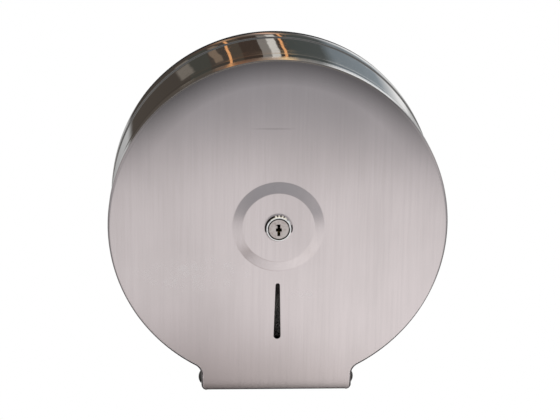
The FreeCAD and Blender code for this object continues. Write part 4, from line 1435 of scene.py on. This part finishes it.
class DISPENSER_OT_studio(bpy.types.Operator):
    """Sets the floor, the light, the reflector cards and the camera"""

    bl_idname = "dispenser.studio"
    bl_label = "Set the studio"

    def execute(self, context):
        studio = context.scene.dispenser_studio
        self.floor(studio)
        self.world(context.scene)
        self.cards(studio)
        self.lamps()
        self.camera(context.scene, studio)
        context.scene.view_settings.view_transform = "Standard"
        return {"FINISHED"}

    def floor(self, studio):
        select_only()
        bpy.ops.mesh.primitive_plane_add(size=studio.floor_size, location=(0, 0, -studio.floor_drop))
        floor = bpy.context.object
        floor.name = "floor"
        bpy.ops.object.transform_apply(location=True, rotation=True, scale=True)
        finish = Finish("floor_paint", base_color=(0.86, 0.86, 0.86), roughness=0.9)
        bright = finish.add("ShaderNodeEmission", {}, {"Color": (1, 1, 1), "Strength": 1})
        matt = Signal(finish, finish.shader.outputs[0])
        shown = finish.add("ShaderNodeMixShader", {}, {0: finish.mirror_rays(), 1: matt, 2: bright})
        finish.set(finish.output, "Surface", shown)
        floor.data.materials.append(finish.material)

    def world(self, scene):
        world = bpy.data.worlds.new("studio_light")
        scene.world = world
        world.use_nodes = True
        nodes = Nodes(world.node_tree)
        background = nodes.tree.nodes["Background"]
        nodes.set(background, "Color", (1, 1, 1))
        nodes.set(background, "Strength", nodes.between(nodes.mirror_rays(), 0, 1, 0.6, 1, "LINEAR"))

    def cards(self, studio):
        """Sets painted cards all round, which only polished metal sees."""
        half, front, back = studio.room_half, studio.room_front, studio.room_back
        deep, middle = back - front, (back + front) / 2
        quarter = math.radians(90)
        wide, tall = 2 * half, 2 * studio.room_height
        top, table = studio.room_height, -studio.table_drop
        upright, sideways, level = (quarter, 0, 0), (0, quarter, 0), (0, 0, 0)
        walls = (
            ("front_card", (wide, tall), (0, front, 0), upright, front_shades, 1.54),
            ("room_card", (wide, tall), (0, back, 0), upright, room_shades, 1),
            ("left_card", (tall, deep), (-half, middle, 0), sideways, wall_shades, 1),
            ("right_card", (tall, deep), (half, middle, 0), sideways, blind_shades, 1),
            ("ceiling_card", (wide, deep), (0, middle, top), level, ceiling_shades, 1.2),
            ("table_card", (wide, deep), (0, middle, table), level, table_shades, 1.1),
        )
        for name, size, centre, rotation, shades, strength in walls:
            card(name, size, centre, rotation, glowing(name + "_paint", shades, strength))
        size = (4 * studio.flag_high, studio.flag_low - studio.flag_high)
        centre = (0, studio.flag_front, -(studio.flag_low + studio.flag_high) / 2)
        card("flag", size, centre, upright, self.black("flag_paint"))
        self.slot_card()

    def black(self, name):
        return Finish(name, base_color=(0, 0, 0), roughness=1, specular_ior_level=0).material

    def slot_card(self):
        """A small black card behind the pan's foot, seen only through the slot's lower end, that stands in
        for the shade inside the drum.
        """
        size = (9 * MM, 6.4 * MM)
        centre = (6.6 * MM, 0.4 * MM, -139.2 * MM)
        piece = card("slot_card", size, centre, (math.radians(90), 0, 0), self.black("slot_card_paint"))
        piece.visible_camera = True
        piece.visible_glossy = False

    def lamps(self):
        for name, energy, size, spot in (
            ("key_lamp", 26, 1.4, (-1.3, -1.6, 1.7)),
            ("fill_lamp", 9, 1.4, (1.7, -1.4, 0.9)),
        ):
            light = bpy.data.lights.new(name, "AREA")
            light.energy = energy
            light.size = size
            lamp = bpy.data.objects.new(name, light)
            lamp.location = spot
            lamp.rotation_euler = Vector(spot).to_track_quat("Z", "Y").to_euler()
            lamp.visible_glossy = False
            bpy.context.scene.collection.objects.link(lamp)

    def camera(self, scene, studio):
        data = bpy.data.cameras.new("camera")
        data.sensor_width = 36
        data.sensor_fit = "HORIZONTAL"
        data.lens = studio.lens
        camera = bpy.data.objects.new("camera", data)
        scene.collection.objects.link(camera)
        where = Matrix.Translation((studio.camera_x, studio.camera_y, studio.camera_z))
        turned = Matrix.Rotation(studio.yaw, 4, "Z") @ Matrix.Rotation(studio.pitch, 4, "X")
        turned = turned @ Matrix.Rotation(studio.roll, 4, "Y") @ Matrix.Rotation(math.radians(90), 4, "X")
        camera.matrix_world = where @ turned
        scene.camera = camera


# The sidebar panel and the run


class DISPENSER_PT_panel(bpy.types.Panel):
    """Sizes, colours and steps of the roll dispenser"""

    bl_idname = "DISPENSER_PT_panel"
    bl_label = "Roll dispenser"
    bl_space_type = "VIEW_3D"
    bl_region_type = "UI"
    bl_category = "Dispenser"

    def draw(self, context):
        for name in groups:
            values = getattr(context.scene, name)
            box = self.layout.box()
            box.label(text=values.__class__.__name__)
            for prop in values.__annotations__:
                box.prop(values, prop)
        for step in steps:
            self.layout.operator(step.bl_idname)


groups = {
    "dispenser_outline": OutlineSizes,
    "dispenser_door": DoorSizes,
    "dispenser_drum": DrumSizes,
    "dispenser_lock": LockSizes,
    "dispenser_rivets": RivetSizes,
    "dispenser_colours": MetalColours,
    "dispenser_studio": StudioSettings,
}

steps = [
    DISPENSER_OT_finishes,
    DISPENSER_OT_door,
    DISPENSER_OT_drum_band,
    DISPENSER_OT_back_pan,
    DISPENSER_OT_lock_housing,
    DISPENSER_OT_lock_plug,
    DISPENSER_OT_hinge_rivets,
    DISPENSER_OT_inner_parts,
    DISPENSER_OT_studio,
]


def register():
    for name, group in groups.items():
        bpy.utils.register_class(group)
        setattr(bpy.types.Scene, name, PointerProperty(type=group))
    for step in steps:
        bpy.utils.register_class(step)
    bpy.utils.register_class(DISPENSER_PT_panel)


def unregister():
    bpy.utils.unregister_class(DISPENSER_PT_panel)
    for step in reversed(steps):
        bpy.utils.unregister_class(step)
    for name, group in reversed(groups.items()):
        delattr(bpy.types.Scene, name)
        bpy.utils.unregister_class(group)


def main():
    register()
    bpy.ops.dispenser.finishes()
    bpy.ops.dispenser.door()
    bpy.ops.dispenser.drum_band()
    bpy.ops.dispenser.back_pan()
    bpy.ops.dispenser.lock_housing()
    bpy.ops.dispenser.lock_plug()
    bpy.ops.dispenser.hinge_rivets()
    bpy.ops.dispenser.inner_parts()
    bpy.ops.dispenser.studio()


if __name__ == "__main__":
    main()
